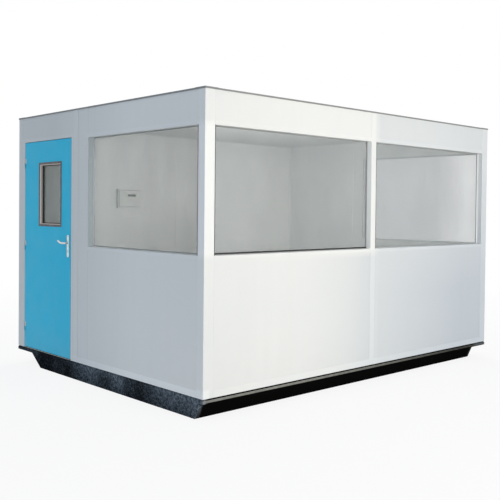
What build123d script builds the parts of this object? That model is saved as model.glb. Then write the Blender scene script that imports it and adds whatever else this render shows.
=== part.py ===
"""Prefabricated guard booth on a steel skid, in millimetres.

The long glazed wall is the front and faces -Y. The wall with the door faces -X. +Z is up.
The origin is on the ground, below the middle of the cabin's plan.
"""

import os
from dataclasses import dataclass

from build123d import *

# Cabin envelope
cabin_length = 4000
cabin_depth = 3000
wall_thickness = 75
fascia_height = 239

# Skid under the floor
skid_height = 127
runner_width = 64
runner_web = 8
runner_flange = 9
runner_left_inset = 4
runner_right_inset = 173
skid_front_top = 43
skid_front_foot = 100
skid_back_top = 289
skid_back_foot = 470
end_plate = 12
inner_runner_share = 0.25

# Floor
floor_frame_height = 38
floor_frame_margin = 4
shadow_gap_height = 10
shadow_gap_depth = 6
mitre_gap = 0.3
deck_gap = 0.5

# Posts
post_face_step = 25
post_side_step = 5
corner_post_radius = 5
mullion_width = 85
front_mullion_width = 69
mullion_edge = 2

# Windows and rails
window_height = 978
window_head_drop = 13
rail_height = 34
bottom_rail_height = 54
sill_fall = 6
glass_setback = 55
glass_thickness = 8
rebate_depth = 14
glass_edge_gap = 3
bead_height = 20
bead_bevel_share = 0.3
bead_joint = 0.4

# Sandwich panels
panel_recess = 2
panel_edge = 1.5
tongue_width = 36
tongue_height = 12
tongue_play = 0.5

# Roof
cap_thickness = 3
cap_overhang = 3
cap_lip = 10
cap_lap = 20
cap_joint = 0.5
corner_cap_thickness = 5
roof_panel_count = 4
roof_panel_thickness = 60
roof_panel_gap = 2
roof_edge_gap = 2
roof_rib_height = 16
roof_rib_foot = 70
roof_rib_crest = 34
roof_rib_shares = (0.25, 0.75)
roof_rib_margin = 20
ledge_size = 45
ledge_thickness = 4

# Doorway
hinge_jamb_width = 56
lock_jamb_width = 36
door_head_height = 36
door_stop = 15
door_gap = 5
lock_gap = 7
threshold_thickness = 4
side_panel_width = 171

# Door leaf
leaf_width = 910
leaf_height = 2058
leaf_thickness = 44
leaf_edge = 2
vision_width = 426
vision_height = 603
vision_offset = 59
vision_top_margin = 217
vision_flange = 10
vision_flange_thickness = 3
vision_sleeve = 16
vision_bevel = 8
vision_play = 0.5
vision_setback = 34
vision_glass_thickness = 6

# Hinges
hinge_shares = (0.1, 0.5, 0.9)
knuckle_radius = 6
knuckle_clearance = 1
knuckle_height = 46
knuckle_gap = 0.3
hinge_pin_radius = 3.6
hinge_pin_length = 34
hinge_plate_width = 32
hinge_plate = 4

# Lever handle
lever_backset = 40
lever_height = 1090
lever_reach = 115
lever_rise = 22
lever_standoff = 46
lever_radius = 9.5
lever_elbow_radius = 17
lever_bend_radius = 130
lever_tip_radius = 7
spindle_radius = 5
spindle_play = 4
neck_play = 0.3
neck_foot = 1
handle_plate_width = 34
handle_plate_length = 205
handle_plate_thickness = 8
handle_plate_radius = 10
handle_plate_edge = 2
handle_plate_drop = 29
lever_bend_share = 0.55

# Distribution board on the back wall
board_width = 304
board_height = 215
board_depth = 30
board_radius = 8
board_from_left = 1132
board_above_sill = 347
board_lid_margin = 16
board_lid = 7
board_window_width = 108
board_window_height = 30
board_window_across = 29
board_window_rise = 36

# One length by which cutting bodies run past the faces they cut
overrun = 40

# Heights, from the top of the floor frame
wall_base = skid_height + floor_frame_height
leaf_foot = threshold_thickness + door_gap
leaf_top = leaf_foot + leaf_height
door_head_foot = leaf_top + door_gap
door_head_top = door_head_foot + door_head_height
window_head = leaf_top - window_head_drop
window_sill = window_head - window_height
sill_foot = window_sill - rail_height
head_top = window_head + rail_height
wall_top = head_top + fascia_height

# Widths and depths that several pieces share
corner_post_face = wall_thickness + post_face_step
corner_post_side = wall_thickness + post_side_step
floor_frame_width = corner_post_face + floor_frame_margin
half_length = cabin_length / 2
half_depth = cabin_depth / 2
panel_inner = wall_thickness - panel_recess


@dataclass
class Wall:
    """One side of the cabin, with a run along it, a depth inward and a height up."""

    corner_x: float
    corner_y: float
    turn: float

    def point(self, run, depth, height):
        """A place on the wall, measured from its left end seen from outside."""
        across = Vector(run, depth, 0).rotate(Axis.Z, self.turn)
        return Vector(self.corner_x, self.corner_y, wall_base + height) + across

    def along(self):
        return Vector(1, 0, 0).rotate(Axis.Z, self.turn)

    def inward(self):
        return Vector(0, 1, 0).rotate(Axis.Z, self.turn)

    def plan(self, height):
        """Level plane: run, depth."""
        return Plane(self.point(0, 0, height), x_dir=self.along(), z_dir=(0, 0, 1))

    def section(self, run):
        """Upright plane across the wall: depth, height."""
        return Plane(self.point(run, 0, 0), x_dir=self.inward(), z_dir=self.along())

    def elevation(self, depth):
        """Upright plane in the wall, facing out: run, height."""
        return Plane(self.point(0, depth, 0), x_dir=self.along(), z_dir=-self.inward())


front = Wall(-half_length, -half_depth, 0)
right = Wall(half_length, -half_depth, 90)
back = Wall(half_length, half_depth, 180)
left = Wall(-half_length, half_depth, 270)


def bar(plane, outline, length):
    """A straight length of one section."""
    with BuildPart() as piece:
        with BuildSketch(plane):
            with BuildLine():
                Polyline(*outline, close=True)
            make_face()
        extrude(amount=length)
    return piece.part


def oblong(near, far, low, high):
    """Corners of an upright rectangle."""
    return [(near, low), (far, low), (far, high), (near, high)]


# Where the pieces of each wall begin and end along it
bay_width = (cabin_length - 2 * corner_post_face - mullion_width) / 2
mullion_start = corner_post_face + bay_width
mullion_end = mullion_start + mullion_width
front_mullion_start = mullion_end - front_mullion_width
right_hand_bay = (mullion_end, cabin_length - corner_post_face)
front_bays = [(corner_post_face, front_mullion_start), right_hand_bay]
back_bays = [(corner_post_face, mullion_start), right_hand_bay]

opening_start = corner_post_side + hinge_jamb_width
leaf_start = opening_start + door_gap
leaf_end = leaf_start + leaf_width
opening_end = leaf_end + lock_gap
lock_jamb_end = opening_end + lock_jamb_width
door_post_end = lock_jamb_end + mullion_width
side_panel_end = door_post_end + side_panel_width
left_bay = (side_panel_end, cabin_depth - corner_post_side)
left_side = (door_post_end, side_panel_end)
right_bay = (corner_post_side, cabin_depth - side_panel_end)
right_side = (cabin_depth - side_panel_end, cabin_depth - door_post_end)
right_post_start = cabin_depth - door_post_end
right_solid = (cabin_depth - lock_jamb_end, cabin_depth - corner_post_side)

# Skid: trough-shaped runners with raked ends, and raked plates closing front and back


def rake_outline(inset):
    """Side view of the skid, each end drawn in by the same distance."""
    return [
        (skid_front_top + inset, skid_height),
        (skid_front_foot + inset, 0),
        (cabin_depth - skid_back_foot - inset, 0),
        (cabin_depth - skid_back_top - inset, skid_height),
    ]


def runner(start, inset, web_first):
    """A channel lying on its flanges, with its web on the first or the second side."""
    pocket_start = start + runner_web if web_first else start
    side = Plane((start, -half_depth, 0), x_dir=(0, 1, 0), z_dir=(1, 0, 0))
    pocket_side = Plane((pocket_start, -half_depth, 0), x_dir=(0, 1, 0), z_dir=(1, 0, 0))
    with BuildPart() as piece:
        with BuildSketch(side):
            with BuildLine():
                Polyline(*rake_outline(inset), close=True)
            make_face()
        extrude(amount=runner_width)
        with BuildSketch(pocket_side):
            with BuildLine():
                Polyline(*rake_outline(inset), close=True)
            make_face()
            offset(amount=-runner_flange, kind=Kind.INTERSECTION, mode=Mode.REPLACE)
        extrude(amount=runner_width - runner_web, mode=Mode.SUBTRACT)
    return piece.part


left_runner_start = -half_length + runner_left_inset
right_runner_start = half_length - runner_right_inset - runner_width
inner_pitch = cabin_length * inner_runner_share
inner_starts = [place - runner_width / 2 for place in (-inner_pitch, 0, inner_pitch)]

with BuildPart() as left_runner:
    add(runner(left_runner_start, 0, True))

with BuildPart() as right_runner:
    add(runner(right_runner_start, 0, False))

inner_channels = [runner(start, end_plate, True) for start in inner_starts]
with BuildPart() as inner_runners:
    add(inner_channels)

plate_start = left_runner_start + runner_width
plate_side = Plane((plate_start, -half_depth, 0), x_dir=(0, 1, 0), z_dir=(1, 0, 0))
front_rake = [
    (skid_front_top, skid_height),
    (skid_front_foot, 0),
    (skid_front_foot + end_plate, 0),
    (skid_front_top + end_plate, skid_height),
]
back_rake = [
    (cabin_depth - skid_back_foot - end_plate, 0),
    (cabin_depth - skid_back_foot, 0),
    (cabin_depth - skid_back_top, skid_height),
    (cabin_depth - skid_back_top - end_plate, skid_height),
]
end_plates = [
    bar(plate_side, rake, right_runner_start - plate_start) for rake in (front_rake, back_rake)
]
with BuildPart() as skid_end_plates:
    add(end_plates)

# Floor: a mitred frame with a shadow groove under the walls, and the deck inside it


def mitred_outline(run_length, outer, inner, gap):
    """Plan of one side of a frame whose corners meet at half a right angle."""
    return [
        (outer + gap, outer),
        (run_length - outer - gap, outer),
        (run_length - inner - gap, inner),
        (inner + gap, inner),
    ]


def floor_side(wall, run_length):
    """One side of the floor frame, stepped back along its upper edge."""
    step = -shadow_gap_height
    with BuildPart() as piece:
        with BuildSketch(wall.plan(-floor_frame_height)):
            with BuildLine():
                Polyline(*mitred_outline(run_length, 0, floor_frame_width, mitre_gap), close=True)
            make_face()
        extrude(amount=floor_frame_height - shadow_gap_height)
        with BuildSketch(wall.plan(step)):
            with BuildLine():
                Polyline(
                    *mitred_outline(run_length, shadow_gap_depth, floor_frame_width, mitre_gap),
                    close=True,
                )
            make_face()
        extrude(amount=shadow_gap_height)
    return piece.part


walls = [(front, cabin_length), (right, cabin_depth), (back, cabin_length), (left, cabin_depth)]
floor_sides = [floor_side(wall, run_length) for wall, run_length in walls]
with BuildPart() as floor_frame:
    add(floor_sides)

deck_inset = floor_frame_width + deck_gap
with BuildPart() as floor_deck:
    with BuildSketch(Plane.XY.offset(skid_height)):
        Rectangle(cabin_length - 2 * deck_inset, cabin_depth - 2 * deck_inset)
    extrude(amount=floor_frame_height)

# Posts, rebated for the glass over the height of the windows
rebate_foot = window_sill - rebate_depth
rebate_rise = window_head + rebate_depth - rebate_foot


def corner_post(wall, on_long_wall, glazed_here, glazed_before):
    """Post at a wall's left end, rebated toward this wall, the one before it, or neither."""
    run = corner_post_face if on_long_wall else corner_post_side
    depth = corner_post_side if on_long_wall else corner_post_face
    with BuildPart() as piece:
        with BuildSketch(wall.plan(0)):
            with BuildLine():
                Polyline((0, 0), (run, 0), (run, depth), (0, depth), close=True)
            make_face()
        extrude(amount=wall_top)
        fillet(piece.edges().filter_by(Axis.Z), radius=corner_post_radius)
        if glazed_here:
            with BuildSketch(wall.plan(rebate_foot)):
                with BuildLine():
                    Polyline(
                        *oblong(run - rebate_depth, run + overrun, glass_setback, depth + overrun),
                        close=True,
                    )
                make_face()
            extrude(amount=rebate_rise, mode=Mode.SUBTRACT)
        if glazed_before:
            with BuildSketch(wall.plan(rebate_foot)):
                with BuildLine():
                    Polyline(
                        *oblong(glass_setback, run + overrun, depth - rebate_depth, depth + overrun),
                        close=True,
                    )
                make_face()
            extrude(amount=rebate_rise, mode=Mode.SUBTRACT)
    return piece.part


def middle_post(wall, start, end, glazed):
    """Post inside a wall, rebated on both sides where it stands between two windows."""
    with BuildPart() as piece:
        with BuildSketch(wall.plan(0)):
            with BuildLine():
                Polyline(*oblong(start, end, 0, wall_thickness), close=True)
            make_face()
        extrude(amount=wall_top)
        chamfer(piece.edges().filter_by(Axis.Z), length=mullion_edge)
        if glazed:
            with BuildSketch(wall.plan(rebate_foot)):
                with BuildLine():
                    Polyline(
                        *oblong(
                            start - overrun,
                            start + rebate_depth,
                            glass_setback,
                            wall_thickness + overrun,
                        ),
                        close=True,
                    )
                make_face()
                with BuildLine():
                    Polyline(
                        *oblong(
                            end - rebate_depth,
                            end + overrun,
                            glass_setback,
                            wall_thickness + overrun,
                        ),
                        close=True,
                    )
                make_face()
            extrude(amount=rebate_rise, mode=Mode.SUBTRACT)
    return piece.part


with BuildPart() as front_left_post:
    add(corner_post(front, True, True, True))

with BuildPart() as front_right_post:
    add(corner_post(right, False, True, True))

with BuildPart() as back_right_post:
    add(corner_post(back, True, False, False))

with BuildPart() as back_left_post:
    add(corner_post(left, False, False, False))

with BuildPart() as front_mullion:
    add(middle_post(front, front_mullion_start, mullion_end, True))

with BuildPart() as back_mullion:
    add(middle_post(back, mullion_start, mullion_end, False))

with BuildPart() as door_post:
    add(middle_post(left, lock_jamb_end, door_post_end, False))

with BuildPart() as right_wall_post:
    add(middle_post(right, right_post_start, right_solid[0], False))

# Rails: each carries a tongue toward a panel, or a rebate and a falling sill toward a window
tongue_near = (wall_thickness - tongue_width) / 2
tongue_far = tongue_near + tongue_width


def tongue(level, reach, forward):
    """The four corners of a tongue standing off a level, in the order of travel."""
    points = [
        (tongue_near, level),
        (tongue_near, level + reach),
        (tongue_far, level + reach),
        (tongue_far, level),
    ]
    return points if forward else points[::-1]


bottom_rail = [
    (0, 0),
    (wall_thickness, 0),
    (wall_thickness, bottom_rail_height),
    *tongue(bottom_rail_height, tongue_height, False),
    (0, bottom_rail_height),
]
sill_rail = [
    (0, sill_foot),
    *tongue(sill_foot, -tongue_height, True),
    (wall_thickness, sill_foot),
    (wall_thickness, window_sill - rebate_depth),
    (glass_setback, window_sill - rebate_depth),
    (glass_setback, window_sill),
    (0, window_sill - sill_fall),
]
head_rail = [
    (0, window_head),
    (glass_setback, window_head),
    (glass_setback, window_head + rebate_depth),
    (wall_thickness, window_head + rebate_depth),
    (wall_thickness, head_top),
    *tongue(head_top, tongue_height, False),
    (0, head_top),
]
blind_sill_rail = [
    (0, sill_foot),
    *tongue(sill_foot, -tongue_height, True),
    (wall_thickness, sill_foot),
    (wall_thickness, window_sill),
    *tongue(window_sill, tongue_height, False),
    (0, window_sill),
]
blind_head_rail = [
    (0, window_head),
    *tongue(window_head, -tongue_height, True),
    (wall_thickness, window_head),
    (wall_thickness, head_top),
    *tongue(head_top, tongue_height, False),
    (0, head_top),
]


def rails(wall, runs):
    """Rails of one wall, each given as a section with its start and end."""
    return [bar(wall.section(start), outline, end - start) for outline, start, end in runs]


glazed_rails = (bottom_rail, sill_rail, head_rail)
blind_rails = (bottom_rail, blind_sill_rail, blind_head_rail)
front_bars = rails(front, [(outline, *bay) for bay in front_bays for outline in glazed_rails])
with BuildPart() as front_rails:
    add(front_bars)

back_bars = rails(back, [(outline, *bay) for bay in back_bays for outline in blind_rails])
with BuildPart() as back_rails:
    add(back_bars)

left_bars = rails(
    left,
    [(bottom_rail, door_post_end, left_bay[1]), (sill_rail, *left_bay), (head_rail, *left_bay)],
)
with BuildPart() as left_rails:
    add(left_bars)

right_bars = rails(
    right,
    [
        (bottom_rail, right_bay[0], right_side[1]),
        (bottom_rail, *right_solid),
        (sill_rail, *right_bay),
        (head_rail, *right_bay),
    ],
)
with BuildPart() as right_rails:
    add(right_bars)

# Sandwich panels, grooved where they sit over a rail's tongue


def panel(wall, run, low, high, foot_groove, head_groove):
    """A panel standing back a little from the posts, with eased upright edges."""
    near = tongue_near - tongue_play
    far = tongue_far + tongue_play
    reach = tongue_height + tongue_play
    foot = [(near, low), (near, low + reach), (far, low + reach), (far, low)]
    head = [(far, high), (far, high - reach), (near, high - reach), (near, high)]
    outline = [
        (panel_recess, low),
        *(foot if foot_groove else []),
        (panel_inner, low),
        (panel_inner, high),
        *(head if head_groove else []),
        (panel_recess, high),
    ]
    with BuildPart() as piece:
        with BuildSketch(wall.section(run[0])):
            with BuildLine():
                Polyline(*outline, close=True)
            make_face()
        extrude(amount=run[1] - run[0])
        across = Axis(wall.point(0, 0, 0), wall.inward())
        uprights = piece.faces().sort_by(across)[0].edges().filter_by(Axis.Z)
        chamfer(uprights, length=panel_edge)
    return piece.part


def rebated_panel(wall, run, low, glass_run):
    """A full-height panel with a window beside it, rebated for the glass."""
    body = panel(wall, run, low, wall_top, True, False)
    with BuildPart() as piece:
        add(body)
        with BuildSketch(wall.plan(rebate_foot)):
            with BuildLine():
                Polyline(
                    *oblong(
                        glass_run - rebate_depth,
                        glass_run + rebate_depth,
                        glass_setback,
                        wall_thickness + overrun,
                    ),
                    close=True,
                )
            make_face()
        extrude(amount=rebate_rise, mode=Mode.SUBTRACT)
    return piece.part


front_low = [panel(front, bay, bottom_rail_height, sill_foot, True, True) for bay in front_bays]
with BuildPart() as front_lower_panels:
    add(front_low)

front_high = [panel(front, bay, head_top, wall_top, True, False) for bay in front_bays]
with BuildPart() as front_upper_panels:
    add(front_high)

with BuildPart() as left_lower_panel:
    add(panel(left, left_bay, bottom_rail_height, sill_foot, True, True))

with BuildPart() as door_side_panel:
    add(rebated_panel(left, left_side, bottom_rail_height, left_side[1]))

left_high = [
    panel(left, left_bay, head_top, wall_top, True, False),
    panel(left, (corner_post_side, lock_jamb_end), door_head_top, wall_top, False, False),
]
with BuildPart() as left_upper_panels:
    add(left_high)

with BuildPart() as right_lower_panel:
    add(panel(right, right_bay, bottom_rail_height, sill_foot, True, True))

with BuildPart() as right_upper_panel:
    add(panel(right, right_bay, head_top, wall_top, True, False))

right_full = [
    rebated_panel(right, right_side, bottom_rail_height, right_side[0]),
    panel(right, right_solid, bottom_rail_height, wall_top, True, False),
]
with BuildPart() as right_side_panels:
    add(right_full)

back_fill = [
    panel(back, bay, low, high, True, high < wall_top)
    for bay in back_bays
    for low, high in (
        (bottom_rail_height, sill_foot),
        (window_sill, window_head),
        (head_top, wall_top),
    )
]
with BuildPart() as back_panels:
    add(back_fill)

# Glass standing in the rebates, held from inside by beads
glass_cover = rebate_depth - glass_edge_gap
bead_depth = glass_setback + glass_thickness
bead_bevel = (wall_thickness - bead_depth) * bead_bevel_share


def pane(wall, run):
    """A sheet of glass lapping into the frame on all four sides."""
    edges = oblong(
        run[0] - glass_cover,
        run[1] + glass_cover,
        window_sill - glass_cover,
        window_head + glass_cover,
    )
    return bar(wall.elevation(glass_setback), edges, -glass_thickness)


def beads(wall, run):
    """Four beads round one window, beveled toward the glass."""
    start = run[0] - rebate_depth
    end = run[1] + rebate_depth
    foot = window_sill - rebate_depth
    head = window_head + rebate_depth
    upright_foot = foot + bead_height + bead_joint
    upright_rise = head - bead_height - bead_joint - upright_foot
    low = [
        (bead_depth, foot),
        (wall_thickness, foot),
        (wall_thickness, foot + bead_height - bead_bevel),
        (wall_thickness - bead_bevel, foot + bead_height),
        (bead_depth, foot + bead_height),
    ]
    high = [(depth, foot + head - height) for depth, height in low]
    first = [
        (start, bead_depth),
        (start + bead_height, bead_depth),
        (start + bead_height, wall_thickness - bead_bevel),
        (start + bead_height - bead_bevel, wall_thickness),
        (start, wall_thickness),
    ]
    last = [(start + end - place, depth) for place, depth in first]
    return [
        bar(wall.section(start), low, end - start),
        bar(wall.section(start), high, end - start),
        bar(wall.plan(upright_foot), first, upright_rise),
        bar(wall.plan(upright_foot), last, upright_rise),
    ]


front_panes = [pane(front, bay) for bay in front_bays]
with BuildPart() as front_window_glass:
    add(front_panes)

with BuildPart() as left_window_glass:
    add(pane(left, left_bay))

with BuildPart() as right_window_glass:
    add(pane(right, right_bay))

front_beads = [bead for bay in front_bays for bead in beads(front, bay)]
end_beads = [*beads(left, left_bay), *beads(right, right_bay)]
with BuildPart() as front_glazing_beads:
    add(front_beads)

with BuildPart() as end_glazing_beads:
    add(end_beads)

# Roof: ribbed panels on a ledge inside the walls, and a lipped capping over the edges
roof_x = corner_post_face + roof_edge_gap
roof_y = corner_post_side + roof_edge_gap
roof_length = cabin_length - 2 * roof_x
roof_depth = cabin_depth - 2 * roof_y
roof_panel_width = (roof_length - roof_panel_gap * (roof_panel_count - 1)) / roof_panel_count
roof_pitch = roof_panel_width + roof_panel_gap
roof_foot = wall_base + wall_top - roof_panel_thickness
cap_width = corner_post_face + roof_edge_gap + cap_lap
rib_length = cabin_depth - 2 * (cap_width + roof_rib_margin)
panel_plane = Plane.XY.offset(roof_foot)
rib_plane = Plane(
    (0, -rib_length / 2, roof_foot + roof_panel_thickness), x_dir=(1, 0, 0), z_dir=(0, -1, 0)
)
panel_places = [
    -roof_length / 2 + roof_panel_width / 2 + roof_pitch * index
    for index in range(roof_panel_count)
]
rib_places = [
    place - roof_panel_width / 2 + roof_panel_width * share
    for place in panel_places
    for share in roof_rib_shares
]

with BuildPart() as roof_panels:
    with BuildSketch(panel_plane):
        with Locations([(place, 0) for place in panel_places]):
            Rectangle(roof_panel_width, roof_depth)
    extrude(amount=roof_panel_thickness)
    with BuildSketch(rib_plane):
        for place in rib_places:
            with BuildLine():
                Polyline(
                    (place - roof_rib_foot / 2, 0),
                    (place + roof_rib_foot / 2, 0),
                    (place + roof_rib_crest / 2, roof_rib_height),
                    (place - roof_rib_crest / 2, roof_rib_height),
                    close=True,
                )
            make_face()
    extrude(amount=-rib_length)

ledge_level = wall_top - roof_panel_thickness
ledge_end = wall_thickness + ledge_size
ledge_section = [
    (wall_thickness, ledge_level - ledge_size),
    (wall_thickness + ledge_thickness, ledge_level - ledge_size),
    (wall_thickness + ledge_thickness, ledge_level - ledge_thickness),
    (ledge_end, ledge_level - ledge_thickness),
    (ledge_end, ledge_level),
    (wall_thickness, ledge_level),
]
ledge_start = ledge_end + mitre_gap
ledge_bars = [
    bar(wall.section(start), ledge_section, run_length - 2 * start)
    for (wall, run_length), start in zip(
        walls, (corner_post_face, ledge_start, corner_post_face, ledge_start)
    )
]
with BuildPart() as roof_ledges:
    add(ledge_bars)


cap_section = [
    (-cap_overhang, wall_top - cap_lip),
    (0, wall_top - cap_lip),
    (0, wall_top),
    (cap_width, wall_top),
    (cap_width, wall_top + cap_thickness),
    (-cap_overhang, wall_top + cap_thickness),
]
cap_start = cap_width + cap_joint
cap_sides = [
    bar(wall.section(cap_start), cap_section, run_length - 2 * cap_start) for wall, run_length in walls
]
with BuildPart() as roof_capping:
    add(cap_sides)


def corner_cap(wall):
    """Square cap over a wall's left end, its lip hanging over both faces of the corner."""
    with BuildPart() as piece:
        with BuildSketch(wall.plan(wall_top)):
            with BuildLine():
                Polyline(*oblong(-cap_overhang, cap_width, -cap_overhang, cap_width), close=True)
            make_face()
        extrude(amount=corner_cap_thickness)
        with BuildSketch(wall.plan(wall_top)):
            with BuildLine():
                Polyline(
                    (-cap_overhang, -cap_overhang),
                    (cap_width, -cap_overhang),
                    (cap_width, 0),
                    (0, 0),
                    (0, cap_width),
                    (-cap_overhang, cap_width),
                    close=True,
                )
            make_face()
        extrude(amount=-cap_lip)
    return piece.part


corner_caps = [corner_cap(wall) for wall, run_length in walls]
with BuildPart() as roof_corner_caps:
    add(corner_caps)

# Door frame: jambs and head with a stop behind the leaf, and a low threshold
stop_depth = leaf_thickness + door_gap
hinge_jamb = [
    (corner_post_side, 0),
    (opening_start, 0),
    (opening_start, stop_depth),
    (opening_start + door_stop, stop_depth),
    (opening_start + door_stop, wall_thickness),
    (corner_post_side, wall_thickness),
]
lock_jamb = [
    (opening_end, 0),
    (lock_jamb_end, 0),
    (lock_jamb_end, wall_thickness),
    (opening_end - door_stop, wall_thickness),
    (opening_end - door_stop, stop_depth),
    (opening_end, stop_depth),
]
jambs = [bar(left.plan(0), outline, door_head_foot) for outline in (hinge_jamb, lock_jamb)]
with BuildPart() as door_jambs:
    add(jambs)

with BuildPart() as door_head:
    with BuildSketch(left.section(corner_post_side)):
        with BuildLine():
            Polyline(*oblong(0, wall_thickness, door_head_foot, door_head_top), close=True)
        make_face()
    extrude(amount=lock_jamb_end - corner_post_side)
    with BuildSketch(left.section(opening_start + door_stop)):
        with BuildLine():
            Polyline(
                *oblong(stop_depth, wall_thickness, door_head_foot - door_stop, door_head_foot),
                close=True,
            )
        make_face()
    extrude(amount=opening_end - opening_start - 2 * door_stop)

threshold_section = [
    (0, 0),
    (wall_thickness, 0),
    (wall_thickness, threshold_thickness),
    (stop_depth, threshold_thickness + door_stop),
    (stop_depth, threshold_thickness),
    (0, threshold_thickness),
]
threshold_start = opening_start + door_stop
with BuildPart() as door_threshold:
    add(bar(left.section(threshold_start), threshold_section, opening_end - door_stop - threshold_start))

# Door leaf with its vision panel
leaf_middle = (leaf_start + leaf_end) / 2
vision_run = leaf_middle + vision_offset
vision_centre = leaf_top - vision_top_margin - vision_height / 2
lever_run = leaf_end - lever_backset
with BuildPart() as door_leaf:
    with BuildSketch(left.elevation(0)):
        with BuildLine():
            Polyline(*oblong(leaf_start, leaf_end, leaf_foot, leaf_top), close=True)
        make_face()
    extrude(amount=-leaf_thickness)
    chamfer(door_leaf.faces().sort_by(Axis.X)[0].edges(), length=leaf_edge)
    with BuildSketch(left.elevation(0)):
        with Locations((vision_run, vision_centre)):
            Rectangle(vision_width, vision_height)
        with Locations((lever_run, lever_height)):
            Circle(spindle_radius + spindle_play)
    extrude(amount=-leaf_thickness, mode=Mode.SUBTRACT)

flange_width = vision_width + 2 * vision_flange
flange_height = vision_height + 2 * vision_flange
sleeve_width = vision_width - 2 * vision_play
sleeve_height = vision_height - 2 * vision_play
clear_width = sleeve_width - 2 * vision_sleeve
clear_height = sleeve_height - 2 * vision_sleeve
vision_back = vision_setback + vision_glass_thickness
vision_rings = []
for face_depth, glass_depth, outward in (
    (0, vision_setback, vision_flange_thickness),
    (leaf_thickness, vision_back, -vision_flange_thickness),
):
    with BuildPart() as ring:
        with BuildSketch(left.elevation(face_depth)):
            with Locations((vision_run, vision_centre)):
                Rectangle(flange_width, flange_height)
                Rectangle(clear_width, clear_height, mode=Mode.SUBTRACT)
        extrude(amount=outward)
        with BuildSketch(left.elevation(face_depth)):
            with Locations((vision_run, vision_centre)):
                Rectangle(sleeve_width, sleeve_height)
                Rectangle(clear_width, clear_height, mode=Mode.SUBTRACT)
        extrude(amount=face_depth - glass_depth)
        if outward > 0:
            rim = ring.faces().sort_by(Axis.X)[0]
            chamfer(rim.inner_wires()[0].edges(), length=vision_bevel)
    vision_rings.append(ring.part)
with BuildPart() as door_vision_frame:
    add(vision_rings)

with BuildPart() as door_vision_glass:
    with BuildSketch(left.elevation(vision_setback)):
        with Locations((vision_run, vision_centre)):
            Rectangle(sleeve_width, sleeve_height)
    extrude(amount=-vision_glass_thickness)

# Lift-off hinges: the lower halves carry the pins, the upper halves hang on them
hinge_run = (opening_start + leaf_start) / 2
hinge_standoff = knuckle_radius + knuckle_clearance
hinge_half = knuckle_height + knuckle_gap / 2
hinge_heights = [leaf_foot + leaf_height * share - hinge_half for share in hinge_shares]
with BuildPart() as hinge_pins:
    for height in hinge_heights:
        with BuildSketch(left.plan(height)):
            with Locations((hinge_run, -hinge_standoff)):
                Circle(knuckle_radius)
            with BuildLine():
                Polyline(
                    *oblong(hinge_run - hinge_plate_width, hinge_run, -hinge_plate, 0), close=True
                )
            make_face()
        extrude(amount=knuckle_height)
        with BuildSketch(left.plan(height + knuckle_height)):
            with Locations((hinge_run, -hinge_standoff)):
                Circle(hinge_pin_radius)
        extrude(amount=hinge_pin_length)

with BuildPart() as hinge_barrels:
    for height in hinge_heights:
        seat = height + knuckle_height + knuckle_gap
        with BuildSketch(left.plan(seat)):
            with Locations((hinge_run, -hinge_standoff)):
                Circle(knuckle_radius)
            with BuildLine():
                Polyline(
                    *oblong(hinge_run, hinge_run + hinge_plate_width, -hinge_plate, 0), close=True
                )
            make_face()
        extrude(amount=knuckle_height)
        with BuildSketch(left.plan(seat)):
            with Locations((hinge_run, -hinge_standoff)):
                Circle(hinge_pin_radius + knuckle_gap)
        extrude(amount=hinge_pin_length + knuckle_gap, mode=Mode.SUBTRACT)

# Handle plates and the lever pair on one spindle
plate_centre = lever_height - handle_plate_drop
with BuildPart() as handle_plates:
    for face_depth, outward in ((0, 1), (leaf_thickness, -1)):
        with BuildSketch(left.elevation(face_depth)):
            with Locations((lever_run, plate_centre)):
                RectangleRounded(handle_plate_width, handle_plate_length, handle_plate_radius)
            with Locations((lever_run, lever_height)):
                Circle(lever_radius + neck_play, mode=Mode.SUBTRACT)
        extrude(amount=outward * handle_plate_thickness)
    outer_rim = handle_plates.faces().sort_by(Axis.X)[0].outer_wire().edges()
    inner_rim = handle_plates.faces().sort_by(Axis.X)[-1].outer_wire().edges()
    chamfer([*outer_rim, *inner_rim], length=handle_plate_edge)

bend_run = lever_run - lever_reach * lever_bend_share
tip_run = lever_run - lever_reach
tip_height = lever_height + lever_rise
lever_arms = []
for foot_depth, arm_depth in (
    (-neck_foot, -lever_standoff),
    (leaf_thickness + neck_foot, leaf_thickness + lever_standoff),
):
    foot_plane = Plane(
        left.point(lever_run, foot_depth, lever_height),
        z_dir=left.inward() * (arm_depth - foot_depth),
    )
    tip = left.point(tip_run, arm_depth, tip_height)
    with BuildPart() as arm:
        with BuildLine():
            FilletPolyline(
                left.point(lever_run, foot_depth, lever_height),
                left.point(lever_run, arm_depth, lever_height),
                left.point(bend_run, arm_depth, lever_height),
                tip,
                radius=(lever_elbow_radius, lever_bend_radius),
            )
        with BuildSketch(foot_plane):
            Circle(lever_radius)
        sweep()
        fillet(arm.faces().sort_by_distance(tip)[0].edges(), radius=lever_tip_radius)
    lever_arms.append(arm.part)

with BuildPart() as door_lever:
    with BuildSketch(left.elevation(-lever_standoff / 2)):
        with Locations((lever_run, lever_height)):
            Circle(spindle_radius)
    extrude(amount=-leaf_thickness - lever_standoff)
    add(lever_arms)

# Distribution board hung on the inner face of the back wall
board_run = cabin_length - board_from_left - board_width / 2
board_middle = window_sill + board_above_sill + board_height / 2
with BuildPart() as distribution_board:
    with BuildSketch(back.elevation(panel_inner)):
        with Locations((board_run, board_middle)):
            RectangleRounded(board_width, board_height, board_radius)
    extrude(amount=-board_depth)
    with BuildSketch(back.elevation(panel_inner + board_depth)):
        with Locations((board_run, board_middle)):
            RectangleRounded(
                board_width - 2 * board_lid_margin,
                board_height - 2 * board_lid_margin,
                board_radius,
            )
        with Locations((board_run - board_window_across, board_middle + board_window_rise)):
            Rectangle(board_window_width, board_window_height, mode=Mode.SUBTRACT)
    extrude(amount=-board_lid)

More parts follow.
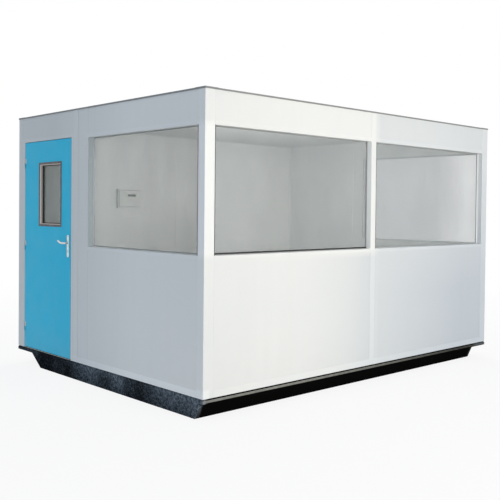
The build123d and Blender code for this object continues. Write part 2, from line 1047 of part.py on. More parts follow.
nodes = {
    "left_runner": left_runner,
    "right_runner": right_runner,
    "inner_runners": inner_runners,
    "skid_end_plates": skid_end_plates,
    "floor_frame": floor_frame,
    "floor_deck": floor_deck,
    "front_left_post": front_left_post,
    "front_right_post": front_right_post,
    "back_left_post": back_left_post,
    "back_right_post": back_right_post,
    "front_mullion": front_mullion,
    "back_mullion": back_mullion,
    "door_post": door_post,
    "right_wall_post": right_wall_post,
    "front_rails": front_rails,
    "left_rails": left_rails,
    "right_rails": right_rails,
    "back_rails": back_rails,
    "front_lower_panels": front_lower_panels,
    "front_upper_panels": front_upper_panels,
    "left_lower_panel": left_lower_panel,
    "left_upper_panels": left_upper_panels,
    "door_side_panel": door_side_panel,
    "right_lower_panel": right_lower_panel,
    "right_upper_panel": right_upper_panel,
    "right_side_panels": right_side_panels,
    "back_panels": back_panels,
    "front_window_glass": front_window_glass,
    "left_window_glass": left_window_glass,
    "right_window_glass": right_window_glass,
    "front_glazing_beads": front_glazing_beads,
    "end_glazing_beads": end_glazing_beads,
    "roof_panels": roof_panels,
    "roof_ledges": roof_ledges,
    "roof_capping": roof_capping,
    "roof_corner_caps": roof_corner_caps,
    "door_jambs": door_jambs,
    "door_head": door_head,
    "door_threshold": door_threshold,
    "door_leaf": door_leaf,
    "door_vision_frame": door_vision_frame,
    "door_vision_glass": door_vision_glass,
    "hinge_pins": hinge_pins,
    "hinge_barrels": hinge_barrels,
    "handle_plates": handle_plates,
    "door_lever": door_lever,
    "distribution_board": distribution_board,
}
os.makedirs("parts", exist_ok=True)
for node, piece in nodes.items():
    piece.part.label = node
    export_step(piece.part, f"parts/{node}.step")
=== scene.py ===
"""Finishes, seals, fixings, light and camera for a security guard booth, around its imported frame."""

import logging
import math
from dataclasses import dataclass, replace
from enum import Enum

import bmesh
import bpy
from mathutils import Matrix, Vector


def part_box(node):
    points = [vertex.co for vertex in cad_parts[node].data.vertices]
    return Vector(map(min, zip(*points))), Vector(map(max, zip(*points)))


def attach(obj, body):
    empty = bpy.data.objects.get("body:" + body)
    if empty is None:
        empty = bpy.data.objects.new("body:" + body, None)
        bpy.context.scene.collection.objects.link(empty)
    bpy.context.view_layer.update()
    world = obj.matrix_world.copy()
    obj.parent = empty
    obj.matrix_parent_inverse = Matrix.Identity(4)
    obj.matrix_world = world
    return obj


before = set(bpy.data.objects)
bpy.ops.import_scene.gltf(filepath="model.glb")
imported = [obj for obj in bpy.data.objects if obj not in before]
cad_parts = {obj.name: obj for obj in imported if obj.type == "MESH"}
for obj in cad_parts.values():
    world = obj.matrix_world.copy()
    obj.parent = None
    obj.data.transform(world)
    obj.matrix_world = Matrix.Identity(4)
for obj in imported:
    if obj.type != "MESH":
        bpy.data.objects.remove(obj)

LOG = logging.getLogger("guard_booth")
CABIN_LENGTH = 4.0
CABIN_DEPTH = 3.0
WALL_BASE = 0.165

Tint = tuple[int, int, int]
Span = tuple[float, float]
Point = tuple[float, float, float]
Socket = bpy.types.NodeSocket

RISE: Span = (0.0, 1.0)
FALL: Span = (1.0, 0.0)


def turned(degrees: float, axis: str) -> Matrix:
    """Gives a turn about an axis."""
    return Matrix.Rotation(math.radians(degrees), 4, axis)


class Wall(Enum):
    """The four walls: the corner that a wall's runs start from, and its turn in degrees."""

    FRONT = (-CABIN_LENGTH / 2, -CABIN_DEPTH / 2, 0)
    RIGHT = (CABIN_LENGTH / 2, -CABIN_DEPTH / 2, 90)
    BACK = (CABIN_LENGTH / 2, CABIN_DEPTH / 2, 180)
    LEFT = (-CABIN_LENGTH / 2, CABIN_DEPTH / 2, 270)

    def place(self) -> Matrix:
        """Turns (run, depth, height) on this wall into the booth's frame."""
        x, y, turn = self.value
        return Matrix.Translation((x, y, WALL_BASE)) @ turned(turn, "Z")


class Body(Enum):
    """The bodies that pieces ride on."""

    CABIN = "cabin"
    DOOR = "door"


class Facing(Enum):
    """Which way a fixing's head looks on its wall, as a turn about the run."""

    OUTSIDE = 90
    INSIDE = -90

    def seat(self, wall: Wall, run: float, depth: float, height: float) -> Matrix:
        """Gives the place of a fixing on a wall, its own +Z looking this way."""
        return wall.place() @ Matrix.Translation((run, depth, height)) @ turned(self.value, "X")


@dataclass(frozen=True)
class Grain:
    """A noise pattern, and the span of it that a finish uses.

    Attributes:
        scale: Bumps to a metre, before the stretch.
        detail: Octaves of finer noise.
        source: The span of the noise that is read.
        target: The span that it comes out over.
        stretch: The scale along X, Y and Z.
    """

    scale: float = 1.0
    detail: float = 3.0
    source: Span = (0.3, 0.7)
    target: Span = RISE
    stretch: Point = (1, 1, 1)


@dataclass(frozen=True)
class Bump:
    """A noise pattern that raises a surface.

    Attributes:
        grain: The pattern, read whole.
        height: How high it stands, in metres.
        strength: How much of it shows.
    """

    grain: Grain
    height: float
    strength: float


@dataclass(frozen=True)
class Fade:
    """A change along one axis of the booth.

    Attributes:
        axis: The axis.
        source: Where it starts and ends, in metres.
        target: The shares at its start and its end.
    """

    axis: str
    source: Span
    target: Span = RISE


FRONT_SKIN = Fade("Y", (-1.42, -1.40), FALL)
TO_MIDDLE = Fade("X", (-1.5, 0.0))


class Patch(Enum):
    """Stretches of the white metal that carry painted shade or a painted highlight, each the product of its
    fades.
    """

    # Painted shade: the front's right bay.
    RIGHT_BAY = (FRONT_SKIN, Fade("X", (0.01, 0.11)))
    # Painted shade: deeper downwards and towards the right.
    DOWN_AND_ALONG = (Fade("Z", (0.8, 2.3), FALL), Fade("X", (0.0, 1.5), (0.25, 1.0)))
    # Painted shade: the foot of the front's left bay, deepening towards the middle.
    LEFT_BAY_FOOT = (
        FRONT_SKIN, Fade("Z", (1.16, 1.24), FALL), Fade("X", (0.02, 0.11), FALL), TO_MIDDLE, TO_MIDDLE,
    )
    # Painted highlight: the left face of the front-left corner post, between sill and head.
    WINDOW_CORNER = (
        Fade("X", (-1.90, -1.89), FALL), Fade("Y", (-1.41, -1.40), FALL),
        Fade("Z", (1.20, 1.26)), Fade("Z", (2.20, 2.26), FALL),
    )
    # Painted highlight: the foot of the left wall.
    LEFT_FOOT = (Fade("Z", (0.22, 0.24), FALL), Fade("X", (-1.95, -1.93), FALL))
    # Painted shade: the left wall, deepening towards the back.
    SHADED_BACK_END = (Fade("X", (-1.975, -1.965), FALL), Fade("Y", (-0.55, 0.75)))


def linear(tint: Tint) -> tuple[float, float, float, float]:
    """Turns a written colour into the shader's own scale.

    Args:
        tint: Red, green and blue from 0 to 255.

    Returns:
        The colour with an alpha of 1.
    """
    shares = [channel / 255 for channel in tint]
    values = [share / 12.92 if share <= 0.04045 else ((share + 0.055) / 1.055) ** 2.4 for share in shares]
    return (values[0], values[1], values[2], 1.0)


class Tree:
    """The node tree of a material or of the world."""

    def __init__(self, owner: bpy.types.Material | bpy.types.World) -> None:
        """Opens the owner's nodes.

        Args:
            owner: The material or world.
        """
        owner.use_nodes = True
        self.nodes = owner.node_tree.nodes
        self.links = owner.node_tree.links

    def join(self, socket: Socket, value: object) -> None:
        """Links a socket to another, or sets it to a constant.

        Args:
            socket: The input socket.
            value: An output socket or a constant.
        """
        if isinstance(value, Socket):
            self.links.new(value, socket)
        else:
            socket.default_value = value

    def add(self, kind: str, inputs: dict[str | int, object], **settings: str) -> bpy.types.Node:
        """Adds a node.

        Args:
            kind: The node's type.
            inputs: What each input is joined to or set to, by its name or number.
            settings: The node's own settings.

        Returns:
            The node.
        """
        node = self.nodes.new(kind)
        for name, value in settings.items():
            setattr(node, name, value)
        for key, value in inputs.items():
            self.join(node.inputs[key], value)
        return node

    def maths(self, operation: str, first: Socket, second: Socket | float) -> Socket:
        """Works one value with another."""
        return self.add("ShaderNodeMath", {0: first, 1: second}, operation=operation).outputs["Value"]

    def times(self, first: Socket, *others: Socket) -> Socket:
        """Multiplies values.

        Args:
            first: The first value.
            others: The values that it is multiplied by.

        Returns:
            The product.
        """
        for other in others:
            first = self.maths("MULTIPLY", first, other)
        return first

    def span(self, value: Socket, source: Span, target: Span) -> Socket:
        """Maps one span of a value onto another, clamped.

        Args:
            value: The value to map.
            source: The span that it is read over.
            target: The span that it comes out over.

        Returns:
            The mapped value.
        """
        inputs = {
            "Value": value, "From Min": source[0], "From Max": source[1],
            "To Min": target[0], "To Max": target[1],
        }
        return self.add("ShaderNodeMapRange", inputs).outputs["Result"]

    def seen_rays(self) -> Socket:
        """Picks out the camera's, mirrored and transmitted rays, which look at the background.

        Returns:
            1 for such a ray, else 0.
        """
        path = self.add("ShaderNodeLightPath", {})
        total = path.outputs["Is Camera Ray"]
        for name in ("Is Glossy Ray", "Is Transmission Ray"):
            total = self.maths("MAXIMUM", total, path.outputs[name])
        return total

    def mix_shaders(self, share: Socket, first: Socket, second: Socket) -> Socket:
        """Mixes two shaders."""
        return self.add("ShaderNodeMixShader", {"Fac": share, 1: first, 2: second}).outputs["Shader"]


class Graph(Tree):
    """The nodes of one finish, read on Object coordinates, with its coats laid one over another."""

    mix_under = 6
    mix_over = 7
    mix_result = 2

    def __init__(self, name: str) -> None:
        """Starts a material with its surface shader and coordinates.

        Args:
            name: The material's name.
        """
        self.material = bpy.data.materials.new(name)
        super().__init__(self.material)
        self.surface = self.nodes["Principled BSDF"]
        self.place = self.add("ShaderNodeTexCoord", {}).outputs["Object"]
        self.coat: object = None

    def noise(self, grain: Grain) -> Socket:
        """Adds a whole noise pattern.

        Args:
            grain: The pattern.

        Returns:
            The noise, from 0 to 1.
        """
        mapping = self.add("ShaderNodeMapping", {"Vector": self.place, "Scale": grain.stretch})
        inputs = {"Vector": mapping.outputs["Vector"], "Scale": grain.scale, "Detail": grain.detail}
        return self.add("ShaderNodeTexNoise", inputs).outputs["Fac"]

    def grain(self, grain: Grain, target: Span | None = None) -> Socket:
        """Adds the span of a noise pattern that is used, over its own target or another."""
        return self.span(self.noise(grain), grain.source, target or grain.target)

    def flecks(self, scale: float) -> Socket:
        """Adds a pattern of small cells, as the distance from each cell's middle."""
        return self.add("ShaderNodeTexVoronoi", {"Vector": self.place, "Scale": scale}).outputs["Distance"]

    def axis(self, name: str) -> Socket:
        """Gives one of the place's coordinates in metres."""
        return self.add("ShaderNodeSeparateXYZ", {"Vector": self.place}).outputs[name]

    def fade(self, fade: Fade) -> Socket:
        """Adds a change along an axis."""
        return self.span(self.axis(fade.axis), fade.source, fade.target)

    def region(self, fades: tuple[Fade, ...]) -> Socket:
        """Picks out where several fades meet."""
        return self.times(*(self.fade(fade) for fade in fades))

    def near(self, axis: str, centre: float, reach: float, whole_share: float = 0.35) -> Socket:
        """Picks out a stretch along an axis.

        Args:
            axis: The axis.
            centre: The stretch's middle.
            reach: How far from the middle it fades out.
            whole_share: How much of that reach it keeps its whole strength over.

        Returns:
            1 at the middle, falling to 0.
        """
        away = self.maths("ABSOLUTE", self.maths("SUBTRACT", self.axis(axis), centre), 0.0)
        return self.span(away, (reach * whole_share, reach), FALL)

    def tune(self, name: str, value: object) -> None:
        """Sets one of the surface's inputs, or links it."""
        self.join(self.surface.inputs[name], value)

    def paint(self, tint: Tint) -> None:
        """Lays the first coat."""
        self.coat = linear(tint)
        self.tune("Base Color", self.coat)

    def cover(self, share: Socket, tint: Tint) -> None:
        """Lays another colour over the coats so far.

        Args:
            share: How much of the new colour shows.
            tint: The new colour.
        """
        inputs = {"Factor": share, self.mix_under: self.coat, self.mix_over: linear(tint)}
        self.coat = self.add("ShaderNodeMix", inputs, data_type="RGBA").outputs[self.mix_result]
        self.tune("Base Color", self.coat)

    def relief(self, *bumps: Bump) -> None:
        """Raises the surface by one pattern over another.

        Args:
            bumps: The patterns, from the lowest up.
        """
        below: dict[str | int, object] = {}
        for bump in bumps:
            inputs = {"Height": self.noise(bump.grain), "Distance": bump.height, "Strength": bump.strength}
            below = {"Normal": self.add("ShaderNodeBump", inputs | below).outputs["Normal"]}
        self.tune("Normal", below["Normal"])


class Finish:
    """A finish, laid in coats on a material of its own.

    Attributes:
        name: The finish's name.
        tint: The colour of its first coat.
    """

    name: str
    tint: Tint

    def lay(self, graph: Graph) -> None:
        """Lays the finish over its first coat."""
        raise NotImplementedError

    def make(self) -> bpy.types.Material:
        """Builds the finish's material.

        Returns:
            The material.
        """
        graph = Graph(self.name)
        graph.paint(self.tint)
        self.lay(graph)
        return graph.material


@dataclass(frozen=True)
class PaintedShade:
    """Painted shade on white metal: a darker, cooler right bay on the front that deepens downwards, a darker
    foot to the front's left bay, and a darker back end of the left wall.
    """

    front_shade: Tint
    back_shade: Tint
    foot_shade_share: float
    least_share: float = 0.42

    def lay(self, graph: Graph) -> None:
        """Lays the painted shade over a finish's coats.

        Args:
            graph: The finish's nodes.
        """
        # Painted shade: the front's right bay darkened and cooled, most at the bottom and to the right.
        depth = graph.span(graph.region(Patch.DOWN_AND_ALONG.value), RISE, (self.least_share, 1.0))
        graph.cover(graph.times(graph.region(Patch.RIGHT_BAY.value), depth), self.front_shade)
        # Painted shade: the lower panel of the front's left bay darkens towards the middle.
        foot = graph.region(Patch.LEFT_BAY_FOOT.value)
        graph.cover(graph.span(foot, RISE, (0.0, self.foot_shade_share)), self.front_shade)
        # Painted shade: the left wall darkens towards the back.
        graph.cover(graph.region(Patch.SHADED_BACK_END.value), self.back_shade)


@dataclass(frozen=True)
class SheetCoat(Finish):
    """Factory-painted steel sheet: flat white with a faint wave, pale rain streaks, dust at the foot and
    patches of painted shade.
    """

    name: str
    tint: Tint
    shade: Tint
    dust: Tint
    painted_shade: PaintedShade
    shaded_reveal: float | None = None
    reveal_reach: float = 0.003
    drift: Grain = Grain(0.9, 2.0, (0.35, 0.7), (0.0, 0.3))
    streaks: Grain = Grain(1.0, 3.0, (0.5, 0.9), (0.0, 0.05), (9, 9, 0.4))
    foot: Fade = Fade("Z", (0.18, 0.6), (0.04, 0.0))
    splash: Grain = Grain(9.0, 5.0, (0.3, 0.75), (0.1, 1.6))
    wiped_and_painted_light: Grain = Grain(9.0, 5.0, target=(0.75, 1.0))
    gloss: Grain = Grain(3.0, 4.0, target=(0.34, 0.48))
    wave: Bump = Bump(Grain(1.4, 1.0), 0.006, 0.16)
    skin: Bump = Bump(Grain(420.0, 1.0), 0.0003, 0.1)

    def lay(self, graph: Graph) -> None:
        """Lays the finish over its first coat.

        Args:
            graph: The finish's nodes.
        """
        graph.cover(graph.grain(self.drift), self.shade)
        # Painted shade on parts of the front and the left wall.
        self.painted_shade.lay(graph)
        graph.cover(graph.grain(self.streaks), self.dust)
        graph.cover(graph.times(graph.fade(self.foot), graph.grain(self.splash)), self.dust)
        # Painted shade on the window reveal at this place along Y, broken up a little and laid in the dust
        # colour.
        if self.shaded_reveal is not None:
            reveal = graph.near("Y", self.shaded_reveal, self.reveal_reach)
            graph.cover(graph.times(reveal, graph.grain(self.wiped_and_painted_light)), self.dust)
        graph.tune("Roughness", graph.grain(self.gloss))
        graph.relief(self.wave, self.skin)


@dataclass(frozen=True)
class RoofCoat(Finish):
    """Painted roof sheet: weathered on top, with settled dust and water marks, and clean white below."""

    name: str
    tint: Tint
    shade: Tint
    ceiling: Tint
    dust: Tint
    shine: float = 0.25
    puddle: Span = (0.0, 2.0)
    drift: Grain = Grain(0.8, 3.0, (0.35, 0.7), (0.0, 0.6))
    runs: Grain = Grain(1.0, 3.0, (0.5, 0.85), (0.0, 0.16), (9, 0.5, 1))
    settled: Grain = Grain(2.6, 6.0, (0.5, 0.8), (0.0, 0.22))
    below: Fade = Fade("Z", (2.435, 2.445), FALL)
    gloss: Grain = Grain(3.0, 4.0, target=(0.6, 0.75))
    wave: Bump = Bump(Grain(1.2, 1.0), 0.005, 0.15)
    skin: Bump = Bump(Grain(380.0, 1.0), 0.0003, 0.12)

    def lay(self, graph: Graph) -> None:
        """Lays the finish over its first coat.

        Args:
            graph: The finish's nodes.
        """
        graph.cover(graph.grain(self.drift), self.shade)
        graph.cover(graph.grain(self.runs), self.dust)
        graph.cover(graph.times(graph.near("Y", *self.puddle), graph.grain(self.settled)), self.dust)
        graph.cover(graph.fade(self.below), self.ceiling)
        graph.tune("Specular IOR Level", self.shine)
        graph.tune("Roughness", graph.grain(self.gloss))
        graph.relief(self.wave, self.skin)


@dataclass(frozen=True)
class ProfileCoat(Finish):
    """Powder-coated folded profile, a little smoother and cleaner than the sheets, with a painted highlight
    on the left wall's foot and corner post and the sheets' painted shade.
    """

    name: str
    tint: Tint
    shade: Tint
    gloss: Span = (0.28, 0.4)
    wiped_and_painted_light: Tint | None = None
    painted_shade: PaintedShade | None = None
    drift: Grain = Grain(2.2, 3.0, (0.35, 0.7), (0.0, 0.35))
    grime: Grain = Grain(38.0, 4.0, (0.62, 0.8), (0.0, 0.2))
    sheen: Grain = Grain(7.0, 3.0)
    skin: Bump = Bump(Grain(600.0, 1.0), 0.0002, 0.12)

    def lay(self, graph: Graph) -> None:
        """Lays the finish over its first coat.

        Args:
            graph: The finish's nodes.
        """
        graph.cover(graph.grain(self.drift), self.shade)
        graph.cover(graph.grain(self.grime), self.shade)
        # Painted highlight: the foot of the left wall and the left face of the front-left corner post
        # lightened.
        if self.wiped_and_painted_light:
            for patch in (Patch.LEFT_FOOT, Patch.WINDOW_CORNER):
                graph.cover(graph.region(patch.value), self.wiped_and_painted_light)
        # Painted shade shared with the sheets.
        if self.painted_shade:
            self.painted_shade.lay(graph)
        graph.tune("Roughness", graph.grain(self.sheen, self.gloss))
        graph.relief(self.skin)


@dataclass(frozen=True)
class YardPaint(Finish):
    """Dark paint on the skid, with dried dust in heaps down its left side, chipped to a paler grey, and on
    the floor frame a pale band along the front lip, part dust and part painted highlight.
    """

    name: str
    tint: Tint
    dust: Tint
    chip: Tint
    film: Tint | None = None
    shine: float = 0.0
    sides: tuple[Fade, ...] = (
        Fade("X", (-1.985, -1.95), FALL), Fade("X", (1.78, 1.82), (0.0, 0.45)),
        Fade("Y", (1.0, 1.15), (0.0, 0.45)),
    )
    heaps: tuple[Span, ...] = ((-1.3, 0.7), (-0.33, 0.18), (0.1, 0.4))
    blotch: Grain = Grain(2.5, 3.0, (0.42, 0.7), (0.04, 0.4))
    sparse_foot: Fade = Fade("Z", (0.0, 0.14), (0.4, 1.0))
    mottle: Grain = Grain(38.0, 6.0, (0.34, 0.68), (0.15, 1.0))
    thin: Grain = Grain(4.0, 4.0, (0.3, 0.65), (0.35, 1.0))
    grit: Grain = Grain(90.0, 4.0, (0.5, 0.66), (0.0, 0.7))
    grit_share: Span = (0.2, 1.0)
    band_grain: Grain = Grain(18.0, 5.0, target=(0.7, 1.0))
    dust_and_highlight_band: tuple[Fade, ...] = (
        Fade("Y", (-1.499, -1.49), FALL), Fade("X", (-1.0, 1.4), (1.0, 0.22)),
        Fade("Z", (0.132, 0.136)), Fade("Z", (0.151, 0.155), FALL),
    )
    chips: Grain = Grain(60.0, 6.0, (0.72, 0.78), (0.0, 0.5))
    dulling: tuple[Span, Span] = ((0.0, 0.6), (0.6, 0.9))
    lumps: Bump = Bump(Grain(26.0, 6.0), 0.002, 0.25)
    skin: Bump = Bump(Grain(210.0, 3.0), 0.0008, 0.35)

    def lay(self, graph: Graph) -> None:
        """Lays the finish over its first coat.

        Args:
            graph: The finish's nodes.
        """
        side = graph.fade(self.sides[0])
        for other in self.sides[1:]:
            side = graph.maths("MAXIMUM", side, graph.fade(other))
        blotch = graph.grain(self.blotch)
        for centre, reach in self.heaps:
            blotch = graph.maths("MAXIMUM", blotch, graph.near("Y", centre, reach))
        blotch = graph.times(blotch, graph.fade(self.sparse_foot))
        cloud = graph.times(side, blotch, graph.grain(self.mottle), graph.grain(self.thin))
        graph.cover(cloud, self.dust)
        grit = graph.times(side, graph.grain(self.grit), graph.span(blotch, RISE, self.grit_share))
        graph.cover(grit, self.dust)
        # Pale band along the front's lower lip, fading towards the right: part road dust, part painted
        # highlight.
        if self.film:
            graph.cover(graph.times(graph.region(self.dust_and_highlight_band), graph.grain(self.band_grain)), self.film)
        graph.cover(graph.grain(self.chips), self.chip)
        graph.tune("Specular IOR Level", self.shine)
        graph.tune("Roughness", graph.span(cloud, *self.dulling))
        graph.relief(self.lumps, self.skin)


@dataclass(frozen=True)
class VinylDeck(Finish):
    """Hard-wearing floor covering with fine flecks and a walked-in sheen."""

    name: str
    tint: Tint
    fleck: Tint
    worn: Tint
    fleck_scale: float = 240.0
    fleck_edge: tuple[Span, Span] = ((0.1, 0.32), (0.7, 0.0))
    trodden: Grain = Grain(1.1, 4.0, (0.4, 0.7), (0.0, 0.5))
    polish: tuple[Span, Span] = ((0.0, 0.5), (0.5, 0.32))
    skin: Bump = Bump(Grain(340.0, 2.0), 0.0004, 0.2)

    def lay(self, graph: Graph) -> None:
        """Lays the finish over its first coat.

        Args:
            graph: The finish's nodes.
        """
        graph.cover(graph.span(graph.flecks(self.fleck_scale), *self.fleck_edge), self.fleck)
        trodden = graph.grain(self.trodden)
        graph.cover(trodden, self.worn)
        graph.tune("Roughness", graph.span(trodden, *self.polish))
        graph.relief(self.skin)


@dataclass(frozen=True)
class PaneGlass(Finish):
    """Window glass with a film of dust that veils what is behind it."""

    name: str
    tint: Tint
    smear: Tint
    veil: Span
    end: Fade | None = None
    specks: Grain = Grain(150.0, 4.0, (0.4, 0.7))
    wiped_and_painted_light: Grain = Grain(2.4, 5.0, stretch=(1, 1, 0.6))
    gloss: Grain = Grain(5.0, 3.0, target=(0.03, 0.09))

    def lay(self, graph: Graph) -> None:
        """Lays the finish over its first coat.

        Args:
            graph: The finish's nodes.
        """
        graph.cover(graph.grain(self.specks), self.smear)
        graph.tune("Roughness", graph.grain(self.gloss))
        veil = graph.grain(self.wiped_and_painted_light, self.veil)
        graph.tune("Alpha", graph.times(veil, graph.fade(self.end)) if self.end else veil)


@dataclass(frozen=True)
class DoorPaint(Finish):
    """Coloured door paint with a rolled texture, rubbed paler where hands and boots reach."""

    name: str
    tint: Tint
    deep: Tint
    rubbed: Tint
    dust: Tint
    shine: float = 0.3
    drift: Grain = Grain(1.8, 3.0, (0.35, 0.7), (0.0, 0.6), (1, 1, 0.5))
    reach: Fade = Fade("Z", (0.2, 0.7), (0.5, 0.06))
    scuffs: Grain = Grain(30.0, 6.0, (0.6, 0.78), (0.0, 0.7), (1, 1, 0.35))
    foot: Fade = Fade("Z", (0.17, 0.5), (0.14, 0.0))
    gloss: Grain = Grain(6.0, 4.0, target=(0.36, 0.5))
    rolled: Bump = Bump(Grain(260.0, 2.0), 0.0004, 0.14)
    wave: Bump = Bump(Grain(1.6, 1.0), 0.003, 0.1)

    def lay(self, graph: Graph) -> None:
        """Lays the finish over its first coat.

        Args:
            graph: The finish's nodes.
        """
        graph.cover(graph.grain(self.drift), self.deep)
        graph.cover(graph.times(graph.fade(self.reach), graph.grain(self.scuffs)), self.rubbed)
        graph.cover(graph.fade(self.foot), self.dust)
        graph.tune("Specular IOR Level", self.shine)
        graph.tune("Roughness", graph.grain(self.gloss))
        graph.relief(self.rolled, self.wave)


@dataclass(frozen=True)
class BrushedMetal(Finish):
    """Bare or anodised metal with fine brush lines and faint handling marks."""

    name: str
    tint: Tint
    shade: Tint
    brush: Point
    gloss: Span
    metal: float = 1.0
    line_share: Span = (0.0, 0.5)
    marks: Grain = Grain(45.0, 4.0, (0.45, 0.75), (0.0, 0.6))
    line_height: float = 0.0002
    line_strength: float = 0.2

    def lay(self, graph: Graph) -> None:
        """Lays the finish over its first coat.

        Args:
            graph: The finish's nodes.
        """
        lines = Grain(stretch=self.brush)
        graph.cover(graph.grain(lines, self.line_share), self.shade)
        graph.cover(graph.grain(self.marks), self.shade)
        graph.tune("Metallic", self.metal)
        graph.tune("Roughness", graph.grain(lines, self.gloss))
        graph.relief(Bump(lines, self.line_height, self.line_strength))


@dataclass(frozen=True)
class TwoToneTrim(Finish):
    """Extruded trim with a pale anodised sleeve, its proud outer face painted dark blue-grey as a painted
    shadow line round the frame.
    """

    name: str
    tint: Tint
    shade: Tint
    flange_shadow: Tint
    outer: Fade
    metal: float = 0.25
    lines: Grain = Grain(target=(0.0, 0.6), stretch=(60, 60, 900))
    rubbed: Grain = Grain(40.0, 5.0, (0.35, 0.75), (1.0, 0.8))
    gloss: Span = (0.38, 0.52)
    line_height: float = 0.0002
    line_strength: float = 0.2

    def lay(self, graph: Graph) -> None:
        """Lays the finish over its first coat.

        Args:
            graph: The finish's nodes.
        """
        graph.cover(graph.grain(self.lines), self.shade)
        # Painted shadow: the proud outer face darkened, a little patchy.
        graph.cover(graph.times(graph.fade(self.outer), graph.grain(self.rubbed)), self.flange_shadow)
        graph.tune("Metallic", self.metal)
        graph.tune("Roughness", graph.grain(self.lines, self.gloss))
        graph.relief(Bump(self.lines, self.line_height, self.line_strength))


@dataclass(frozen=True)
class Moulding(Finish):
    """Moulded plastic, rubber or sealant with a fine matt skin that chalks with age."""

    name: str
    tint: Tint
    bloom: Tint
    skin: Grain
    gloss: Span
    chalk: Grain = Grain(14.0, 5.0, (0.4, 0.75), (0.0, 0.55))
    sheen: Grain = Grain(22.0, 3.0)
    skin_height: float = 0.0003
    skin_strength: float = 0.25

    def lay(self, graph: Graph) -> None:
        """Lays the finish over its first coat.

        Args:
            graph: The finish's nodes.
        """
        graph.cover(graph.grain(self.chalk), self.bloom)
        graph.tune("Roughness", graph.grain(self.sheen, self.gloss))
        graph.relief(Bump(self.skin, self.skin_height, self.skin_strength))


def dress(material: bpy.types.Material, *nodes: str) -> None:
    """Gives CAD nodes a finish.

    Args:
        material: The finish's material.
        nodes: The nodes' names.
    """
    for name in nodes:
        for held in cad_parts[name].material_slots:
            held.material = material
        LOG.info("dressed %s with %s", name, material.name)


@dataclass(frozen=True)
class Fixing:
    """The head of a screw or rivet, with a hollow socket in its top.

    Attributes:
        radius: The head's radius at its seat.
        proud: How far it stands off its seat.
        top_share: Its top's radius, as a share of its radius.
        rim_share: The rim's width round the socket, as a share of its radius.
        taper_share: How far the socket narrows, as a share of its radius.
        socket_share: The socket's depth, as a share of how far the head stands off.
        sides: Faces round the head.
    """

    radius: float
    proud: float
    top_share: float = 0.86
    rim_share: float = 0.4
    taper_share: float = 0.06
    socket_share: float = 0.7
    sides: int = 14


@dataclass(frozen=True)
class WeldBead:
    """A short rippled weld.

    Attributes:
        length: How long the bead is.
        radius: Its radius at the ripples' crests.
        valley_share: Its radius between the ripples, as a share of its radius.
        crest_scale: How much wider a crest is than a valley.
        ripples: How many rings of points are between its ends.
        sides: Faces round the bead.
    """

    length: float
    radius: float
    valley_share: float = 0.7
    crest_scale: float = 1.43
    ripples: int = 7
    sides: int = 8


RIVET = Fixing(0.0042, 0.0016)


